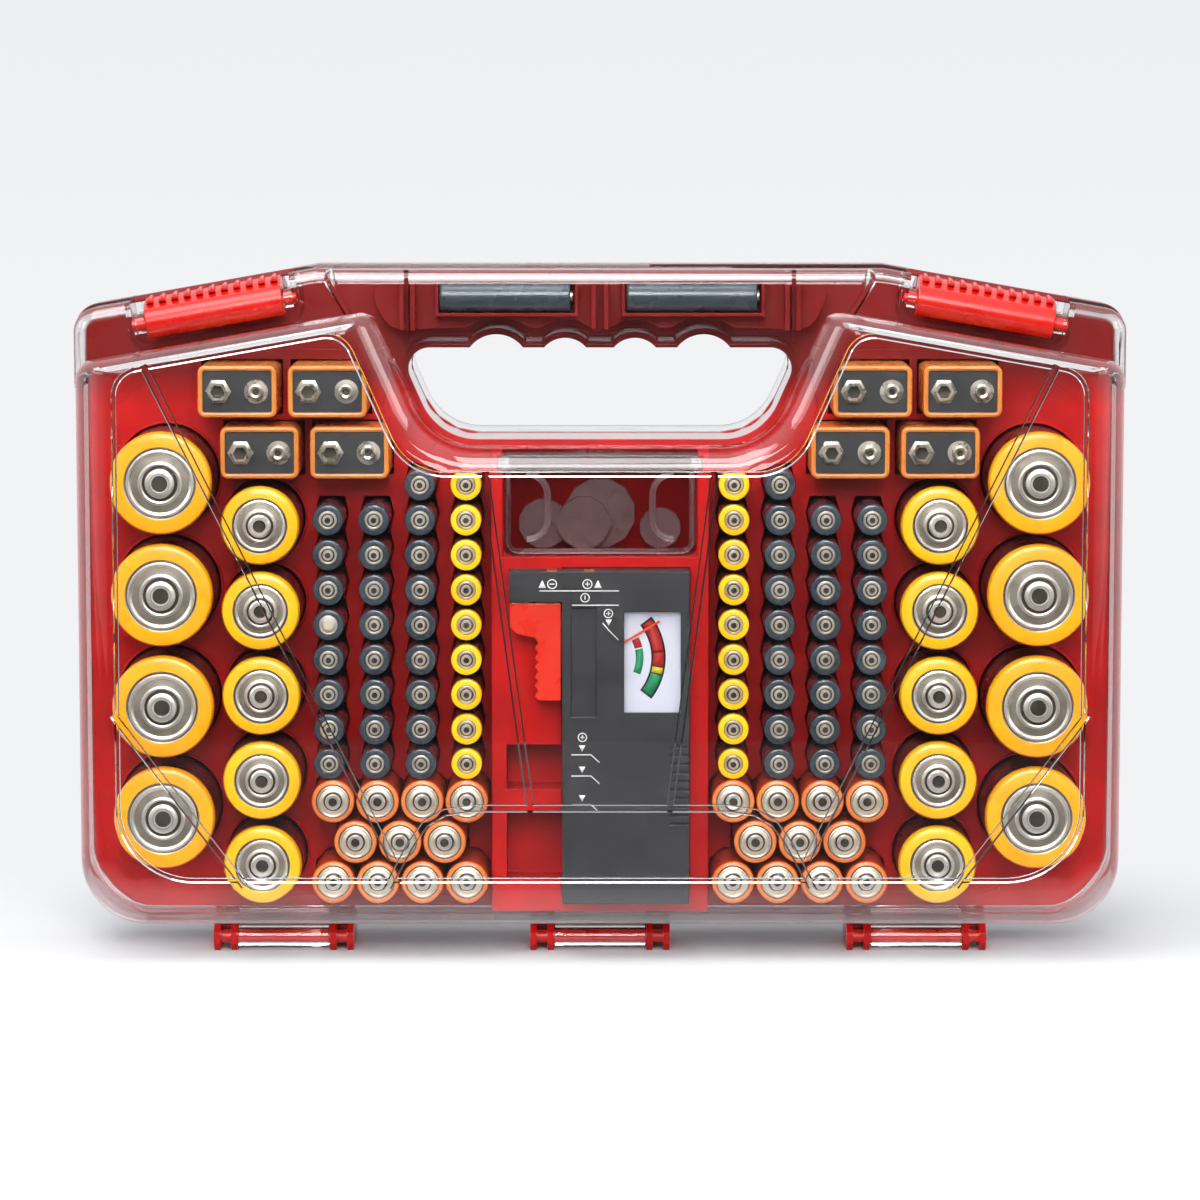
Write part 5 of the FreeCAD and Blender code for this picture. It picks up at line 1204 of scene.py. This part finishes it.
class CASE_OT_coin_box(bpy.types.Operator):
    """Clear coin lid, its satin border and finger ridges, and the coin cells behind it"""
    bl_idname = "battery_case.coin_box"
    bl_label = "Coin box"

    def execute(self, context):
        slab = plate(rectangle(-COIN_HALF, COIN_HALF, COIN_FOOT, COIN_TOP), 3.0,
                     COIN_FACE + COIN_WALL, COIN_FACE, 0.5)
        x, low, high = COIN_BORDER
        border = rounded(rectangle(-x, x, low, high), [3.5] * 4, 15)
        trim = [swept([(-0.9, -0.3), (-0.4, 0.9), (0.4, 0.9), (0.9, -0.3)], border, closed=True)]
        trim += [swept([(-1.1, -0.3), (-0.9, 1.1), (0, 1.5), (0.9, 1.1), (1.1, -0.3)],
                       finger_path(side)) for side in SIDES]
        trim = [placed(shape, (0, COIN_FACE, 0)) for shape in trim]
        pin = rod_across(COIN_WALL / 2, COIN_FACE + COIN_WALL / 2, COIN_HINGE, -COIN_PIN_HALF,
                         COIN_PIN_HALF, 16, 0.2)
        body = carved("coin_lid_work", slab, [("UNION", pin)])
        lid = finished(body, "coin_lid_dressed", [FINISHES["coin_clear"]])
        ridges_work = carved("coin_trim_work", trim[0], [("UNION", shape) for shape in trim[1:]])
        fit(finished(ridges_work, "coin_lid_ridges", [FINISHES["coin_ridge"]]), "coin_lid",
            "lid_clear")
        fit(lid, "coin_lid", "lid_clear", "coin_lid")
        frame["nodes"]["coin_cells"].material_slots[0].material = FINISHES["coin"]
        return {"FINISHED"}


class CASE_OT_tester(bpy.types.Operator):
    """Battery tester: shells, slider, print, dial, needle and window"""
    bl_idname = "battery_case.tester"
    bl_label = "Tester"

    def execute(self, context):
        nodes = frame["nodes"]
        for node, finish in (("tester_body", "charcoal"), ("tester_back", "charcoal"),
                             ("tester_slider", "slider"), ("slider_contact", "contact"),
                             ("tester_contacts", "contact"), ("meter_window", "window"),
                             ("meter_dial", "card"), ("meter_movement", "movement"),
                             ("meter_needle", "needle"), ("load_resistor", "resistor")):
            nodes[node].material_slots[0].material = FINISHES[finish]
        self.print_symbols()
        self.print_dial()
        return {"FINISHED"}

    def print_symbols(self):
        """White symbols without words on the tester's face."""
        shapes = [triangle(*arrow) for arrow in ARROWS] + [stroke(rule) for rule in RULES]
        for x, z, radius, across, up in SIGNS:
            shapes.append(ring_print(x, z, radius))
            if across:
                shapes.append(stroke([(x - across, z), (x + across, z)]))
            if up:
                shapes.append(stroke([(x, z - up), (x, z + up)]))
        piece = moulding("tester_print", joined(shapes), [FINISHES["ink_white"]], smooth=False)
        fit(piece, "tray", "dial_card")

    def print_dial(self):
        """Coloured arcs on the dial card."""
        piece = moulding("dial_print", joined([band(*row) for row in BANDS]),
                         [FINISHES["ink_" + ink] for ink in ("black", "red", "green", "yellow")],
                         smooth=False)
        fit(piece, "tray", "dial_card")


class CASE_OT_stage(bpy.types.Operator):
    """Pale sweep, studio lamps and the camera"""
    bl_idname = "battery_case.stage"
    bl_label = "Stage"

    def execute(self, context):
        settings = context.scene.case_stage
        self.sweep(settings)
        self.surround(settings)
        self.lamps(settings)
        data = bpy.data.cameras.new("camera")
        data.lens = settings.lens
        data.sensor_width = 36.0
        data.clip_end = 20.0
        camera = bpy.data.objects.new("camera", data)
        camera.location = (0, -settings.distance, settings.height)
        camera.rotation_euler = (math.pi / 2 - settings.pitch, 0, 0)
        context.collection.objects.link(camera)
        context.scene.camera = camera
        return {"FINISHED"}

    def sweep(self, settings):
        """Floor that curves up into a backdrop: a line, a quarter turn, a line, carried wide."""
        turn = np.linspace(0, math.pi / 2, 25)
        bend = np.stack([SWEEP_FLAT + SWEEP_RADIUS * np.sin(turn),
                         SWEEP_RADIUS - SWEEP_RADIUS * np.cos(turn)], 1)
        curve = np.concatenate([[(y, 0.0) for y in (SWEEP_FRONT, -0.2, 0.0, 0.2)], bend,
                                [(SWEEP_FLAT + SWEEP_RADIUS, SWEEP_HALF)]])
        across = np.linspace(-SWEEP_HALF, SWEEP_HALF, 3)
        grid = np.stack([np.broadcast_to(across, (len(curve), 3)),
                         np.broadcast_to(curve[:, :1], (len(curve), 3)),
                         np.broadcast_to(curve[:, 1:], (len(curve), 3))], -1)
        mesh = bpy.data.meshes.new("sweep")
        mesh.from_pydata(grid.reshape(-1, 3).tolist(), [], strips(len(curve), 3, False).tolist())
        mesh.shade_smooth()
        piece = bpy.data.objects.new("sweep", mesh)
        bpy.context.collection.objects.link(piece)
        mesh.materials.append(self.paper(settings))

    def paper(self, settings):
        """Seamless studio paper: white floor that keeps its shadow, paler grey further up; to
        glossy rays the floor in front is dark grey, a painted reflection.
        """
        made, tree = new_finish("seamless_paper")
        place = add(tree, "TexCoord").outputs["Object"]
        parts = add(tree, "SeparateXYZ", {0: place})
        fibre = add(tree, "TexNoise", {"Vector": place, "Scale": 900.0, "Detail": 2.0})
        bump = add(tree, "Bump", {"Height": fibre.outputs["Fac"], "Strength": 0.1,
                                  "Distance": 0.0001})
        path = add(tree, "LightPath")
        # Painted reflection: seen by glossy rays, the floor in front of the case turns dark grey,
        # so that the lids reflect no bright floor
        near = add(tree, "MapRange", {"Value": parts.outputs["Y"], "From Min": -0.02,
                                      "From Max": -0.16})
        near = add(tree, "Math", {0: near.outputs["Result"], 1: path.outputs["Is Glossy Ray"]},
                   operation="MULTIPLY")
        pale = add(tree, "Mix", {"Factor": near.outputs[0], "A": linear("DADBDD"),
                                 "B": linear("303032")}, data_type="RGBA")
        lit = add(tree, "BsdfPrincipled", {"Base Color": pale.outputs["Result"],
                                           "Roughness": 0.9, "Specular IOR Level": 0.1,
                                           "Normal": bump.outputs[0]})
        rise = add(tree, "MapRange", {"Value": parts.outputs["Z"], "From Min": 0.08,
                                      "From Max": 0.36}, interpolation_type="SMOOTHSTEP")
        tone = add(tree, "Mix", {"Factor": rise.outputs["Result"], "A": linear("F2F3F5"),
                                 "B": tuple(settings.backdrop) + (1.0,)}, data_type="RGBA")
        glow = add(tree, "Emission", {"Color": tone.outputs["Result"], "Strength": 1.0})
        seen = add(tree, "Math", {0: path.outputs["Is Camera Ray"],
                                  1: path.outputs["Is Glossy Ray"]}, operation="MAXIMUM")
        seen = add(tree, "Math", {0: seen.outputs[0], 1: path.outputs["Is Transmission Ray"]},
                   operation="MAXIMUM")
        far = add(tree, "MapRange", {"Value": parts.outputs["Y"], "From Min": 0.02,
                                     "From Max": 0.2}, interpolation_type="SMOOTHSTEP")
        share = add(tree, "Math", {0: seen.outputs[0], 1: far.outputs["Result"]},
                    operation="MULTIPLY")
        surface = add(tree, "MixShader", {0: share.outputs[0], 1: lit.outputs[0],
                                          2: glow.outputs[0]})
        show(tree, surface.outputs[0])
        return made

    def surround(self, settings):
        """World that is bright above and at the sides and dark round the camera."""
        world = bpy.data.worlds.new("studio")
        world.use_nodes = True
        tree = world.node_tree
        tree.nodes.clear()
        way = add(tree, "NewGeometry").outputs["Incoming"]
        parts = add(tree, "SeparateXYZ", {0: way})
        height = add(tree, "MapRange", {"Value": parts.outputs["Z"], "From Min": -0.2,
                                        "From Max": -0.7}, interpolation_type="SMOOTHSTEP")
        wide = add(tree, "Math", {0: parts.outputs["X"]}, operation="ABSOLUTE")
        sides = add(tree, "MapRange", {"Value": wide.outputs[0], "From Min": 0.55,
                                       "From Max": 0.9}, interpolation_type="SMOOTHSTEP")
        behind = add(tree, "MapRange", {"Value": parts.outputs["Y"], "From Min": 0.1,
                                        "From Max": -0.4}, interpolation_type="SMOOTHSTEP")
        most = add(tree, "Math", {0: height.outputs["Result"], 1: sides.outputs["Result"]},
                   operation="MAXIMUM")
        most = add(tree, "Math", {0: most.outputs[0], 1: behind.outputs["Result"]},
                   operation="MAXIMUM")
        power = add(tree, "MapRange", {"Value": most.outputs[0], "To Min": NIGHT,
                                       "To Max": settings.surround})
        back = add(tree, "Background", {"Color": linear("F2F4F8"),
                                        "Strength": power.outputs["Result"]})
        add(tree, "OutputWorld", {"Surface": back.outputs[0]})
        bpy.context.scene.world = world

    def lamps(self, settings):
        """Soft lamps: a key above, one over the camera and one at each side."""
        for name, place, size, power in LAMPS:
            data = bpy.data.lights.new(name, "AREA")
            data.size = size
            data.energy = getattr(settings, power)
            lamp = bpy.data.objects.new(name, data)
            lamp.location = place
            aim = np.array(LAMP_AIM) - np.array(place)
            reach = math.hypot(aim[0], aim[1])
            lamp.rotation_euler = (math.atan2(reach, -aim[2]), 0,
                                   math.atan2(aim[1], aim[0]) - math.pi / 2)
            bpy.context.collection.objects.link(lamp)


class CASE_PT_panel(bpy.types.Panel):
    """Buttons and sizes of the storage case"""
    bl_label = "Battery storage case"
    bl_idname = "CASE_PT_panel"
    bl_space_type = "VIEW_3D"
    bl_region_type = "UI"
    bl_category = "Battery case"

    def draw(self, context):
        for operator in OPERATORS:
            self.layout.operator(operator.bl_idname)
        for group in (context.scene.case_sizes, context.scene.case_stage):
            for name in group.__annotations__:
                self.layout.prop(group, name)


OPERATORS = (CASE_OT_cells, CASE_OT_lids, CASE_OT_latches, CASE_OT_tray, CASE_OT_coin_box,
             CASE_OT_tester, CASE_OT_stage)
CLASSES = (CaseSizes, StageSettings) + OPERATORS + (CASE_PT_panel,)


def register():
    for item in CLASSES:
        bpy.utils.register_class(item)
    bpy.types.Scene.case_sizes = PointerProperty(type=CaseSizes)
    bpy.types.Scene.case_stage = PointerProperty(type=StageSettings)


def unregister():
    del bpy.types.Scene.case_sizes
    del bpy.types.Scene.case_stage
    for item in reversed(CLASSES):
        bpy.utils.unregister_class(item)


def main():
    register()
    bpy.context.scene.view_settings.view_transform = "Standard"
    make_finishes()
    bpy.ops.battery_case.stage()
    bpy.ops.battery_case.cells()
    bpy.ops.battery_case.lids()
    bpy.ops.battery_case.latches()
    bpy.ops.battery_case.tray()
    bpy.ops.battery_case.coin_box()
    bpy.ops.battery_case.tester()


if __name__ == "__main__":
    main()
